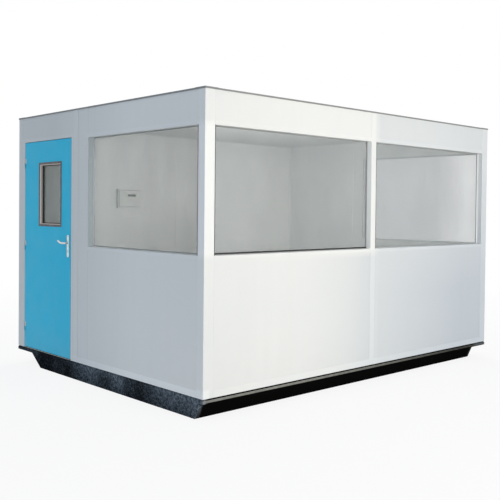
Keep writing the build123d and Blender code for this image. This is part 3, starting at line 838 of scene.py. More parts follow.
class Piece:
    """One new piece, shaped with mesh operators before it becomes an object."""

    slab_steps = 2
    ring_steps = 3
    joined_below = 0.00001
    smooth_below = 38

    def __init__(self, name: str) -> None:
        """Starts an empty mesh."""
        self.name = name
        self.mesh = bmesh.new()

    def put(self, verts: list[bmesh.types.BMVert], place: Matrix) -> None:
        """Moves part of the mesh to its place."""
        bmesh.ops.transform(self.mesh, matrix=place, verts=verts)

    def slab(self, low: Point, high: Point, edge: float, place: Matrix) -> None:
        """Adds a block with eased edges.

        Args:
            low: Its lowest corner.
            high: Its highest corner.
            edge: The width of its bevels.
            place: Turns its coordinates into the booth's.
        """
        made = bmesh.ops.create_cube(self.mesh, size=1.0)["verts"]
        bmesh.ops.scale(self.mesh, vec=Vector(high) - Vector(low), verts=made)
        bmesh.ops.translate(self.mesh, vec=(Vector(low) + Vector(high)) / 2, verts=made)
        edges = list({link for vert in made for link in vert.link_edges})
        eased = bmesh.ops.bevel(
            self.mesh, geom=edges, offset=edge, offset_type="OFFSET", segments=self.slab_steps, profile=0.5,
            affect="EDGES", material=-1,
        )
        self.put(list({vert for face in eased["faces"] for vert in face.verts}), place)

    def ring(self, low: Span, high: Span, width: float, depths: Span, edge: float, place: Matrix) -> None:
        """Adds a rectangular frame that stands in a wall.

        Args:
            low: Run and height of its lower outer corner.
            high: Run and height of its upper outer corner.
            width: How far it reaches in from its outer edge.
            depths: The depths of its outer and inner faces.
            edge: The width of the bevels round its outer face.
            place: Turns its coordinates into the booth's.
        """
        corners = [(low[0], low[1]), (high[0], low[1]), (high[0], high[1]), (low[0], high[1])]
        face = self.mesh.faces.new([self.mesh.verts.new((run, depths[1], height)) for run, height in corners])
        face.normal_update()
        rim = bmesh.ops.inset_region(
            self.mesh, faces=[face], thickness=width, use_even_offset=True, use_boundary=True
        )["faces"]
        bmesh.ops.delete(self.mesh, geom=[face], context="FACES")
        grown = bmesh.ops.extrude_face_region(self.mesh, geom=rim)["geom"]
        front = [item for item in grown if isinstance(item, bmesh.types.BMVert)]
        bmesh.ops.translate(self.mesh, vec=(0, depths[0] - depths[1], 0), verts=front)
        faces = {item for item in grown if isinstance(item, bmesh.types.BMFace)}
        edges = [item for item in grown if isinstance(item, bmesh.types.BMEdge)]
        lips = [item for item in edges if not faces.issuperset(item.link_faces)]
        rounded = bmesh.ops.bevel(
            self.mesh, geom=lips, offset=edge, offset_type="OFFSET", segments=self.ring_steps, profile=0.5,
            affect="EDGES", material=-1, clamp_overlap=True,
        )
        self.put(self.linked(rounded["faces"][0]), place)

    def linked(self, face: bmesh.types.BMFace) -> list[bmesh.types.BMVert]:
        """Finds every vertex of the shell that a face belongs to.

        Args:
            face: Any face of the shell.

        Returns:
            The shell's vertices.
        """
        found = set(face.verts)
        waiting = list(found)
        while waiting:
            vert = waiting.pop()
            for link in vert.link_edges:
                other = link.other_vert(vert)
                if other not in found:
                    found.add(other)
                    waiting.append(other)
        return list(found)

    def screw(self, head: Fixing, place: Matrix) -> None:
        """Adds a screw or rivet head, its top along +Z.

        Args:
            head: The head's sizes.
            place: Turns its coordinates into the booth's.
        """
        radius, proud = head.radius, head.proud
        made = bmesh.ops.create_cone(
            self.mesh, cap_ends=True, segments=head.sides, radius1=radius, radius2=radius * head.top_share,
            depth=proud,
        )["verts"]
        bmesh.ops.translate(self.mesh, vec=(0, 0, proud / 2), verts=made)
        faces = {face for vert in made for face in vert.link_faces}
        top = max(faces, key=lambda face: face.calc_center_median().z)
        bmesh.ops.inset_region(self.mesh, faces=[top], thickness=radius * head.rim_share)
        bmesh.ops.inset_region(
            self.mesh, faces=[top], thickness=radius * head.taper_share, depth=-proud * head.socket_share
        )
        self.put(self.linked(top), place)

    def weld(self, bead: WeldBead, place: Matrix) -> None:
        """Adds a rippled weld along its own Z.

        Args:
            bead: The weld's sizes.
            place: Turns its coordinates into the booth's.
        """
        valley = bead.radius * bead.valley_share
        made = bmesh.ops.create_cone(
            self.mesh, cap_ends=True, segments=bead.sides, radius1=valley, radius2=valley, depth=bead.length
        )["verts"]
        links = {link for vert in made for link in vert.link_edges}
        sides = [link for link in links if link.calc_length() > bead.length / 2]
        rings = bmesh.ops.subdivide_edges(self.mesh, edges=sides, cuts=bead.ripples)["geom_inner"]
        verts = [item for item in rings if isinstance(item, bmesh.types.BMVert)]
        crests = [vert for vert in verts if round((vert.co.z / bead.length + 0.5) * (bead.ripples + 1)) % 2]
        bmesh.ops.scale(self.mesh, vec=(bead.crest_scale, bead.crest_scale, 1), verts=crests)
        self.put(self.linked(verts[0].link_faces[0]), place)

    def cut_below(self, height: float) -> None:
        """Cuts the mesh off level and closes the cut ends.

        Args:
            height: The height of the cut in the booth's frame.
        """
        everything = [*self.mesh.verts, *self.mesh.edges, *self.mesh.faces]
        cut = bmesh.ops.bisect_plane(
            self.mesh, geom=everything, plane_co=(0, 0, height), plane_no=(0, 0, 1), clear_inner=True
        )["geom_cut"]
        bmesh.ops.holes_fill(self.mesh, edges=[item for item in cut if isinstance(item, bmesh.types.BMEdge)])

    def bush(self, profile: tuple[Span, ...], place: Matrix, steps: int = 20) -> None:
        """Adds a ring turned from a profile about its own Z.

        Args:
            profile: The radius and height of each corner, in order round the section.
            place: Turns its coordinates into the booth's.
            steps: Faces round the ring.
        """
        before = set(self.mesh.verts)
        verts = [self.mesh.verts.new((radius, 0, height)) for radius, height in profile]
        edges = [self.mesh.edges.new(pair) for pair in zip(verts, verts[1:] + verts[:1])]
        bmesh.ops.spin(
            self.mesh, geom=verts + edges, cent=(0, 0, 0), axis=(0, 0, 1), angle=math.tau, steps=steps,
            use_merge=True,
        )
        self.put([vert for vert in self.mesh.verts if vert not in before], place)

    def settle(self, body: Body, slot: str, material: bpy.types.Material) -> None:
        """Turns the mesh into an object that rides on a body.

        Args:
            body: The body that carries it.
            slot: The record's slot that its finish comes from; not used.
            material: The finish's material.
        """
        bmesh.ops.remove_doubles(self.mesh, verts=self.mesh.verts, dist=self.joined_below)
        bmesh.ops.recalc_face_normals(self.mesh, faces=self.mesh.faces)
        data = bpy.data.meshes.new(self.name)
        self.mesh.to_mesh(data)
        self.mesh.free()
        data.materials.append(material)
        data.shade_smooth()
        data.set_sharp_from_angle(angle=math.radians(self.smooth_below))
        made = bpy.data.objects.new(self.name, data)
        bpy.context.scene.collection.objects.link(made)
        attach(made, body.value)
        LOG.info("built %s with %d faces, on the %s", self.name, len(data.polygons), body.value)


@dataclass
class Skid:
    """The dark steel skid with raked ends."""

    paint: YardPaint = YardPaint("skid_paint", (14, 14, 14), (140, 152, 164), (64, 70, 76))
    # The fourth colour is the pale band on the front lip, part dust and part painted highlight.
    floor_paint: YardPaint = YardPaint(
        "floor_frame_paint", (13, 13, 14), (140, 152, 164), (70, 76, 82), (150, 150, 144)
    )
    covering: VinylDeck = VinylDeck("floor_covering", (136, 138, 136), (96, 98, 98), (122, 122, 118))
    top: float = 0.127
    side_faces: Span = (-1.996, 1.827)
    end_faces: Span = (-1.457, 1.211)
    bead: WeldBead = WeldBead(0.06, 0.0034)
    weld_pitch: float = 0.36
    first_weld_share: float = 0.6
    sunk_share: float = 0.3

    def weld_places(self, start: float, end: float) -> list[float]:
        """Spaces welds along a seam.

        Args:
            start: Where the seam starts.
            end: Where it ends.

        Returns:
            The middle of each weld.
        """
        count = int((end - start) / self.weld_pitch)
        return [start + self.weld_pitch * (index + self.first_weld_share) for index in range(count)]

    def build(self) -> None:
        """Stitches the skid to the floor frame with short welds."""
        welds = Piece("skid_welds")
        seam = self.top - self.bead.radius * self.sunk_share
        for y in self.weld_places(*self.end_faces):
            for x in self.side_faces:
                welds.weld(self.bead, Matrix.Translation((x, y, seam)) @ turned(90, "X"))
        for x in self.weld_places(*self.side_faces):
            for y in self.end_faces:
                welds.weld(self.bead, Matrix.Translation((x, y, seam)) @ turned(90, "Y"))
        welds.settle(Body.CABIN, "skid_steel", self.paint.make())

    def dress(self) -> None:
        """Paints the runners, the floor frame and the deck."""
        dress(self.paint.make(), "left_runner", "right_runner", "inner_runners", "skid_end_plates")
        dress(self.floor_paint.make(), "floor_frame")
        dress(self.covering.make(), "floor_deck")


@dataclass
class Walls:
    """Posts, rails and sandwich panels."""

    # The last set of colours is painted shade on the front and the left wall.
    sheet: SheetCoat = SheetCoat(
        "wall_sheet", (243, 243, 241), (234, 237, 240), (190, 188, 180),
        PaintedShade((196, 203, 211), (214, 216, 217), 0.6),
    )
    # Here the dust colour also paints shade on the window reveal.
    reveal_sheet: SheetCoat = replace(sheet, name="reveal_sheet", dust=(208, 215, 216), shaded_reveal=0.15)
    # Its wiped tint is a painted highlight, and its last set of colours is painted shade.
    profile: ProfileCoat = ProfileCoat(
        "white_profile", (245, 245, 243), (236, 239, 241), wiped_and_painted_light=(255, 255, 254),
        painted_shade=PaintedShade((204, 211, 219), (216, 218, 219), 0.45),
    )
    end_margin: float = 0.05
    door_side: float = 1.14
    rivet_height: float = 0.027
    rivet_pitch: float = 0.4

    def rivet_runs(self) -> dict[Wall, Span]:
        """Lists where each wall's rivets start and end."""
        long, short = CABIN_LENGTH - self.end_margin, CABIN_DEPTH - self.end_margin
        return {
            Wall.FRONT: (self.end_margin, long), Wall.RIGHT: (self.end_margin, short),
            Wall.BACK: (self.end_margin, long), Wall.LEFT: (self.door_side, short),
        }

    def build(self) -> None:
        """Rivets the base rails down to the floor frame."""
        rivets = Piece("base_rail_rivets")
        for wall, (start, end) in self.rivet_runs().items():
            count = round((end - start) / self.rivet_pitch)
            for index in range(count + 1):
                run = start + (end - start) * index / count
                rivets.screw(RIVET, Facing.OUTSIDE.seat(wall, run, 0.0, self.rivet_height))
        rivets.settle(Body.CABIN, "white_profile", self.profile.make())

    def dress(self) -> None:
        """Coats the panels and the profiles."""
        dress(
            self.sheet.make(), "front_lower_panels", "front_upper_panels", "left_lower_panel",
            "left_upper_panels", "right_lower_panel", "right_upper_panel", "right_side_panels", "back_panels",
        )
        dress(self.reveal_sheet.make(), "door_side_panel")
        dress(
            self.profile.make(), "front_left_post", "front_right_post", "back_left_post", "back_right_post",
            "front_mullion", "back_mullion", "door_post", "right_wall_post", "front_rails", "left_rails",
            "right_rails", "back_rails", "door_jambs", "door_head", "roof_ledges",
        )


@dataclass
class Glazing:
    """Panes with their rubber gaskets, seals and beads."""

    glass: PaneGlass = PaneGlass("window_glass", (162, 169, 172), (143, 150, 154), (0.25, 0.3))
    left_glass: PaneGlass = PaneGlass(
        "left_window_glass", (170, 170, 163), (150, 151, 146), (0.25, 0.3),
        Fade("Y", (-1.42, 0.1), (1.5, 0.9)),
    )
    far_glass: PaneGlass = PaneGlass(
        "right_window_glass", (168, 174, 182), (152, 157, 164), (0.23, 0.28),
        Fade("Y", (-1.28, -0.9), (0.12, 1.0)),
    )
    bead: ProfileCoat = ProfileCoat("bead_profile", (222, 224, 222), (196, 198, 198))
    outer_bead: ProfileCoat = ProfileCoat("outer_bead", (240, 242, 243), (228, 231, 233))
    rubber: Moulding = Moulding(
        "gasket_rubber", (96, 97, 97), (172, 174, 172), Grain(300.0, 2.0), (0.55, 0.75),
        Grain(9.0, 4.0, target=(0.6, 1.0)),
    )
    edge_rubber: Moulding = Moulding(
        "edge_rubber", (16, 16, 17), (30, 30, 30), Grain(300.0, 2.0), (0.55, 0.75)
    )
    sill: float = 1.076
    sill_fall: float = 0.006
    head: float = 2.054
    front_margin: float = 0.100
    mullion: Span = (1.9735, 2.0425)
    end_window: Span = (0.080, 1.650)
    glass_face: float = 0.055
    gasket_width: float = 0.007
    gasket_proud: float = 0.005
    gasket_round: float = 0.0016
    seal_proud: float = 0.005
    seal_bite: float = 0.003
    seal_depths: Span = (0.0006, 0.0040)
    seal_edge: float = 0.0008
    bedding_rise: float = 0.011
    bedding_drop: float = 0.001
    bedding_proud: float = 0.0075
    bead_width: float = 0.019
    bead_proud: float = 0.0056
    bead_edge: float = 0.0012

    def openings(self) -> dict[Wall, tuple[Span, ...]]:
        """Lists each wall's windows by the runs of their two sides."""
        near, far = self.end_window
        return {
            Wall.FRONT: (
                (self.front_margin, self.mullion[0]), (self.mullion[1], CABIN_LENGTH - self.front_margin),
            ),
            Wall.LEFT: ((CABIN_DEPTH - far, CABIN_DEPTH - near),),
            Wall.RIGHT: ((near, far),),
        }

    def build(self) -> None:
        """Seals every pane from outside."""
        self.build_gaskets()
        self.build_edge_seals()
        self.build_outer_beads()

    def build_gaskets(self) -> None:
        """Runs a gasket round the outside of every pane."""
        rubber = self.rubber.make()
        depths = (self.glass_face - self.gasket_proud, self.glass_face)
        for wall, windows in self.openings().items():
            gaskets = Piece(f"{wall.name.lower()}_window_gaskets")
            for start, end in windows:
                gaskets.ring(
                    (start, self.sill), (end, self.head), self.gasket_width, depths, self.gasket_round,
                    wall.place(),
                )
            gaskets.settle(Body.CABIN, "bead_profile", rubber)

    def build_edge_seals(self) -> None:
        """Runs a thin seal down the corner side of each window, and beds the front's left pane on a strip."""
        seals = Piece("window_edge_seals")
        outer, inner = self.seal_depths
        foot = self.sill - self.sill_fall
        for wall, windows in self.openings().items():
            for start, end in windows:
                if wall is Wall.LEFT:
                    run = (end - self.seal_proud, end + self.seal_bite)
                else:
                    run = (start - self.seal_bite, start + self.seal_proud)
                seals.slab((run[0], outer, foot), (run[1], inner, self.head), self.seal_edge, wall.place())
        start, end = self.openings()[Wall.FRONT][0]
        seals.slab(
            (start, self.glass_face - self.bedding_proud, self.sill - self.bedding_drop),
            (end, self.glass_face, self.sill + self.bedding_rise), self.bead_edge, Wall.FRONT.place(),
        )
        seals.settle(Body.CABIN, "bead_profile", self.edge_rubber.make())

    def build_outer_beads(self) -> None:
        """Covers the gasket with a bead down the side of a pane that ends at a wall or at the last post."""
        beads = Piece("window_outer_beads")
        for wall, windows in self.openings().items():
            start, end = windows[-1]
            run = (start, start + self.bead_width) if wall is Wall.LEFT else (end - self.bead_width, end)
            beads.slab(
                (run[0], self.glass_face - self.bead_proud, self.sill), (run[1], self.glass_face, self.head),
                self.bead_edge, wall.place(),
            )
        beads.settle(Body.CABIN, "bead_profile", self.outer_bead.make())

    def dress(self) -> None:
        """Glazes the windows and coats the beads."""
        dress(self.glass.make(), "front_window_glass")
        dress(self.left_glass.make(), "left_window_glass")
        dress(self.far_glass.make(), "right_window_glass")
        dress(self.bead.make(), "front_glazing_beads", "end_glazing_beads")


@dataclass
class Roof:
    """Ribbed roof panels under a folded edge capping."""

    sheet: RoofCoat = RoofCoat(
        "roof_sheet", (232, 234, 234), (216, 220, 222), (236, 237, 236), (168, 164, 154)
    )
    capping: ProfileCoat = ProfileCoat("cap_sheet", (142, 144, 145), (122, 125, 126), (0.52, 0.64))
    sealant: Moulding = Moulding(
        "roof_sealant", (168, 168, 164), (146, 144, 138), Grain(260.0, 2.0), (0.5, 0.7)
    )
    bolt: BrushedMetal = BrushedMetal(
        "roof_bolt", (186, 188, 190), (140, 142, 144), (300, 300, 300), (0.35, 0.5)
    )
    top: float = 2.492
    cap_top: float = 2.495
    corner_top: float = 2.497
    field: Span = (1.878, 1.378)
    pitch: float = 0.9495
    panels: int = 4
    seam_width: float = 0.06
    seam_proud: float = 0.0025
    seam_edge: float = 0.0009
    seam_margin: float = 0.010
    sealant_width: float = 0.009
    sealant_proud: float = 0.0022
    sealant_round: float = 0.0014
    bolt_rows: tuple[float, ...] = (-1.26, -0.42, 0.42, 1.26)
    bolt_offset: float = 0.11
    bolt_head: Fixing = Fixing(0.0055, 0.0052)
    washer: tuple[Span, ...] = ((0.0030, 0), (0.0085, 0), (0.0085, 0.0012), (0.0030, 0.0017))
    washer_steps: int = 14
    seam_screw: Fixing = Fixing(0.0045, 0.0024)
    seam_screw_offset: float = 0.018
    rivet_pitch: float = 0.42
    rivet_lines: Span = (1.93, 1.43)
    rivet_reach: Span = (1.76, 1.26)
    corner_rivets: tuple[Span, ...] = ((1.90, 1.46), (1.96, 1.40))

    def build(self) -> None:
        """Builds the seam strips, the sealant, the bolts and the capping's rivets."""
        self.build_seams()
        self.build_bolts()
        self.build_rivets()

    def seam_places(self) -> list[float]:
        """Lists where the gaps between panels are along the roof."""
        return [self.pitch * (index - self.panels / 2) for index in range(1, self.panels)]

    def build_seams(self) -> None:
        """Covers the gaps between panels, and seals the panels to the capping."""
        strips = Piece("roof_seam_strips")
        half = self.seam_width / 2
        wide, deep = self.field
        reach = deep - self.seam_margin
        for x in self.seam_places():
            strips.slab(
                (x - half, -reach, self.top), (x + half, reach, self.top + self.seam_proud), self.seam_edge,
                Matrix.Identity(4),
            )
        strips.settle(Body.CABIN, "roof_sheet", self.sheet.make())
        bead = Piece("roof_sealant")
        bead.ring(
            (-wide, -deep), (wide, deep), self.sealant_width, (-self.top - self.sealant_proud, -self.top),
            self.sealant_round, turned(-90, "X"),
        )
        bead.settle(Body.CABIN, "cap_sheet", self.sealant.make())

    def build_bolts(self) -> None:
        """Sets washered bolts beside the ribs and screws along the seam strips."""
        bolts = Piece("roof_bolts")
        for index in range(self.panels):
            middle = self.pitch * (index - (self.panels - 1) / 2)
            for x in (middle - self.bolt_offset, middle + self.bolt_offset):
                for y in self.bolt_rows:
                    seat = Matrix.Translation((x, y, self.top))
                    bolts.bush(self.washer, seat, self.washer_steps)
                    bolts.screw(self.bolt_head, seat)
        for seam in self.seam_places():
            for y in self.bolt_rows:
                for x in (seam - self.seam_screw_offset, seam + self.seam_screw_offset):
                    bolts.screw(self.seam_screw, Matrix.Translation((x, y, self.top + self.seam_proud)))
        bolts.settle(Body.CABIN, "cap_sheet", self.bolt.make())

    def rivet_row(self, reach: float) -> list[float]:
        """Spaces rivets both ways from the middle of a side."""
        steps = int(reach / self.rivet_pitch)
        return [index * self.rivet_pitch for index in range(-steps, steps + 1)]

    def build_rivets(self) -> None:
        """Rivets the capping and its corners down."""
        rivets = Piece("capping_rivets")
        far_x, far_y = self.rivet_lines
        reach_x, reach_y = self.rivet_reach
        places = [(x, y, self.cap_top) for x in self.rivet_row(reach_x) for y in (-far_y, far_y)]
        places += [(x, y, self.cap_top) for y in self.rivet_row(reach_y) for x in (-far_x, far_x)]
        for corner_x, corner_y in self.corner_rivets:
            places += [(x, y, self.corner_top) for x in (-corner_x, corner_x) for y in (-corner_y, corner_y)]
        for place in places:
            rivets.screw(RIVET, Matrix.Translation(place))
        rivets.settle(Body.CABIN, "cap_sheet", self.bolt.make())

    def dress(self) -> None:
        """Coats the roof."""
        dress(self.sheet.make(), "roof_panels")
        dress(self.capping.make(), "roof_capping", "roof_corner_caps")


@dataclass(frozen=True)
class DoorPlan:
    """Where the door and its opening stand in the left wall."""

    opening: Span = (0.136, 1.058)
    opening_top: float = 2.072
    leaf_edge: float = 1.051
    leaf_thickness: float = 0.044
    lever_run: float = 1.011
    lever_height: float = 1.090


DOOR = DoorPlan()


@dataclass
class Doorway:
    """The door's leaf, its glass and the seals round both."""

    paint: DoorPaint = DoorPaint(
        "door_blue", (22, 206, 245), (20, 197, 236), (120, 204, 228), (140, 176, 184)
    )
    # The third colour is a painted shadow on the frame's proud outer face.
    trim: TwoToneTrim = TwoToneTrim(
        "vision_frame", (240, 225, 216), (214, 200, 192), (50, 56, 66), Fade("X", (-2.0012, -1.9996), FALL)
    )
    glass: PaneGlass = PaneGlass(
        "door_glass", (128, 134, 124), (88, 96, 92), (0.52, 0.62), specks=Grain(55.0, 4.0, (0.4, 0.7))
    )
    tread: BrushedMetal = BrushedMetal(
        "threshold_metal", (176, 176, 172), (128, 128, 126), (60, 700, 60), (0.34, 0.5)
    )
    rubber: Moulding = Moulding("door_rubber", (34, 35, 36), (60, 60, 58), Grain(320.0, 2.0), (0.55, 0.75))
    stop_face: float = 0.049
    seal_inset: float = 0.002
    seal_width: float = 0.010
    seal_proud: float = 0.0038
    seal_round: float = 0.0015
    sill_top: float = 0.0205
    vision_centre: Span = (0.655, 1.5485)
    vision_clear: Span = (0.3929, 0.5699)
    vision_glass: Span = (0.034, 0.040)
    bed_width: float = 0.008
    bed_proud: Span = (0.010, 0.006)
    bed_round: float = 0.0018

    def build(self) -> None:
        """Runs a seal round the stops, and beds the door's glass on rubber."""
        rubber = self.rubber.make()
        place = Wall.LEFT.place()
        start, end = DOOR.opening
        seal = Piece("door_seal")
        seal.ring(
            (start + self.seal_inset, -self.seal_width),
            (end - self.seal_inset, DOOR.opening_top - self.seal_inset), self.seal_width,
            (self.stop_face - self.seal_proud, self.stop_face), self.seal_round, place,
        )
        seal.cut_below(WALL_BASE + self.sill_top)
        seal.settle(Body.CABIN, "bead_profile", rubber)
        run, height = self.vision_centre
        wide, high = (size / 2 for size in self.vision_clear)
        front, back = self.vision_glass
        bed = Piece("vision_gasket")
        for depths in ((front - self.bed_proud[0], front), (back + self.bed_proud[1], back)):
            bed.ring(
                (run - wide, height - high), (run + wide, height + high), self.bed_width, depths,
                self.bed_round, place,
            )
        bed.settle(Body.DOOR, "vision_frame", rubber)

    def dress(self) -> None:
        """Finishes the door's leaf, its glass and the threshold."""
        dress(self.paint.make(), "door_leaf")
        dress(self.trim.make(), "door_vision_frame")
        dress(self.glass.make(), "door_vision_glass")
        dress(self.tread.make(), "door_threshold")


HINGE_STEEL = BrushedMetal(
    "hinge_steel", (220, 223, 224), (204, 207, 209), (700, 700, 60), (0.34, 0.48), 0.15
)


@dataclass(frozen=True)
class LockPlate:
    """A flat piece of the lock on the leaf's edge.

    Attributes:
        half_width: Half its width across the leaf.
        reach: Its foot and its top, from the lever's height.
        proud: How far it stands off the edge.
        edge: The width of its bevels.
    """

    half_width: float
    reach: Span
    proud: float
    edge: float


@dataclass
class Lockset:
    """The handle plates' furniture, the lock's forend and its strike."""

    handle: BrushedMetal = BrushedMetal(
        "handle_metal", (226, 226, 224), (186, 186, 186), (90, 90, 800), (0.22, 0.34)
    )
    slot_black: Moulding = Moulding("keyway_black", (14, 14, 14), (26, 26, 26), Grain(700.0, 2.0), (0.4, 0.6))
    plate_proud: float = 0.008
    plate_span: Span = (0.9585, 1.1635)
    plate_screw: Fixing = Fixing(0.0042, 0.0014)
    screw_margin: float = 0.013
    key_drop: float = 0.072
    turned_steps: int = 32
    rose: tuple[Span, ...] = (
        (0.0104, 0), (0.0142, 0), (0.0138, 0.0016), (0.0122, 0.0026), (0.0104, 0.0026),
    )
    cylinder: tuple[Span, ...] = (
        (0.0052, 0), (0.0086, 0), (0.0086, 0.0026), (0.0080, 0.0032), (0.0058, 0.0032), (0.0052, 0.0028),
    )
    cylinder_tail: tuple[Point, Point, float] = ((-0.0049, -0.0205, 0), (0.0049, -0.0078, 0.0028), 0.0006)
    plug: Fixing = Fixing(0.0051, 0.0026)
    keyway: tuple[Point, Point, float] = ((-0.0007, -0.0036, 0.0024), (0.0007, 0.0036, 0.0028), 0.0001)
    forend: LockPlate = LockPlate(0.010, (-0.135, 0.075), 0.0014, 0.0005)
    latch: LockPlate = LockPlate(0.006, (-0.014, 0.014), 0.0040, 0.0016)
    bolt: LockPlate = LockPlate(0.005, (-0.092, -0.052), 0.0026, 0.0006)
    forend_screw: Fixing = Fixing(0.0036, 0.0006)
    forend_screws: Span = (-0.128, 0.068)
    strike: LockPlate = LockPlate(0.012, (-0.135, 0.075), 0.0010, 0.0003)
    strike_holes: tuple[Span, ...] = ((-0.022, 0.022), (-0.100, -0.044))
    strike_rim: float = 0.005

    def build(self) -> None:
        """Builds the handles' furniture and the lock."""
        self.build_furniture()
        steel = HINGE_STEEL.make()
        self.build_lock(steel)
        self.build_strike(steel)

    def faces(self) -> tuple[tuple[Facing, float], ...]:
        """Gives the depths of the handle plates' outer and inner faces."""
        return ((Facing.OUTSIDE, -self.plate_proud), (Facing.INSIDE, DOOR.leaf_thickness + self.plate_proud))

    def build_furniture(self) -> None:
        """Adds roses, plate screws and key cylinders to the handle plates."""
        metal = self.handle.make()
        roses, screws = Piece("lever_roses"), Piece("handle_screws")
        cylinders, keyways = Piece("key_cylinders"), Piece("keyways")
        foot, top = self.plate_span
        for facing, depth in self.faces():
            lever = facing.seat(Wall.LEFT, DOOR.lever_run, depth, DOOR.lever_height)
            roses.bush(self.rose, lever, self.turned_steps)
            for height in (foot + self.screw_margin, top - self.screw_margin):
                screws.screw(self.plate_screw, facing.seat(Wall.LEFT, DOOR.lever_run, depth, height))
            key = facing.seat(Wall.LEFT, DOOR.lever_run, depth, DOOR.lever_height - self.key_drop)
            cylinders.bush(self.cylinder, key, self.turned_steps)
            cylinders.slab(*self.cylinder_tail, key)
            cylinders.screw(self.plug, key)
            keyways.slab(*self.keyway, key)
        for piece in (roses, screws, cylinders):
            piece.settle(Body.DOOR, "handle_metal", metal)
        keyways.settle(Body.DOOR, "handle_metal", self.slot_black.make())

    def build_lock(self, steel: bpy.types.Material) -> None:
        """Lets the lock's forend, latch and bolt into the leaf's edge.

        Args:
            steel: The finish's material.
        """
        place = Wall.LEFT.place()
        edge, middle, height = DOOR.leaf_edge, DOOR.leaf_thickness / 2, DOOR.lever_height
        lock = Piece("lock_forend")
        for plate in (self.forend, self.latch, self.bolt):
            foot, top = plate.reach
            lock.slab(
                (edge, middle - plate.half_width, height + foot),
                (edge + plate.proud, middle + plate.half_width, height + top), plate.edge, place,
            )
        for rise in self.forend_screws:
            seat = Matrix.Translation((edge + self.forend.proud, middle, height + rise))
            lock.screw(self.forend_screw, place @ seat @ turned(90, "Y"))
        lock.settle(Body.DOOR, "handle_metal", steel)

    def build_strike(self, steel: bpy.types.Material) -> None:
        """Lets a strike into the jamb, with a hole each for the latch and the bolt.

        Args:
            steel: The finish's material.
        """
        place = Wall.LEFT.place()
        jamb, middle, height = DOOR.opening[1], DOOR.leaf_thickness / 2, DOOR.lever_height
        near, far = middle - self.strike.half_width, middle + self.strike.half_width
        strike = Piece("lock_strike")
        for foot, top in self.strike_holes:
            strike.ring(
                (near, height + foot), (far, height + top), self.strike_rim,
                (self.strike.proud - jamb, -jamb), self.strike.edge, place @ turned(90, "Z"),
            )
        stops = sorted([*self.strike.reach, *(end for hole in self.strike_holes for end in hole)])
        for foot, top in zip(stops[::2], stops[1::2]):
            strike.slab(
                (jamb - self.strike.proud, near, height + foot), (jamb, far, height + top),
                self.strike.edge, place,
            )
        strike.settle(Body.CABIN, "handle_metal", steel)

    def dress(self) -> None:
        """Finishes the handle plates and the levers."""
        dress(self.handle.make(), "handle_plates", "door_lever")


@dataclass
class Hinges:
    """The screws and end caps of the three hinges."""

    feet: tuple[float, ...] = (0.1687, 0.9919, 1.8151)
    run: float = 0.1385
    standoff: float = 0.007
    plate: float = 0.004
    knuckle: float = 0.046
    knuckle_gap: float = 0.0003
    screw: Fixing = Fixing(0.0041, 0.0013)
    screw_offset: float = 0.021
    screw_shares: Span = (0.22, 0.78)
    cap: tuple[Span, ...] = ((0.0006, 0), (0.0057, 0), (0.0054, 0.0010), (0.0040, 0.0019), (0.0006, 0.0023))

    def build(self) -> None:
        """Screws down both halves of each hinge and caps its ends."""
        metal = HINGE_STEEL.make()
        pins, barrels = Piece("hinge_pin_fixings"), Piece("hinge_barrel_fixings")
        axis = Wall.LEFT.place() @ Matrix.Translation((self.run, -self.standoff, 0))
        for foot in self.feet:
            upper = foot + self.knuckle + self.knuckle_gap
            halves = ((pins, foot, -self.screw_offset), (barrels, upper, self.screw_offset))
            for piece, base, offset in halves:
                for share in self.screw_shares:
                    height = base + self.knuckle * share
                    seat = Facing.OUTSIDE.seat(Wall.LEFT, self.run + offset, -self.plate, height)
                    piece.screw(self.screw, seat)
            pins.bush(self.cap, axis @ Matrix.Translation((0, 0, foot)) @ turned(180, "X"))
            barrels.bush(self.cap, axis @ Matrix.Translation((0, 0, upper + self.knuckle)))
        pins.settle(Body.CABIN, "hinge_steel", metal)
        barrels.settle(Body.DOOR, "hinge_steel", metal)

    def dress(self) -> None:
        """Finishes both halves of the hinges."""
        dress(HINGE_STEEL.make(), "hinge_pins", "hinge_barrels")


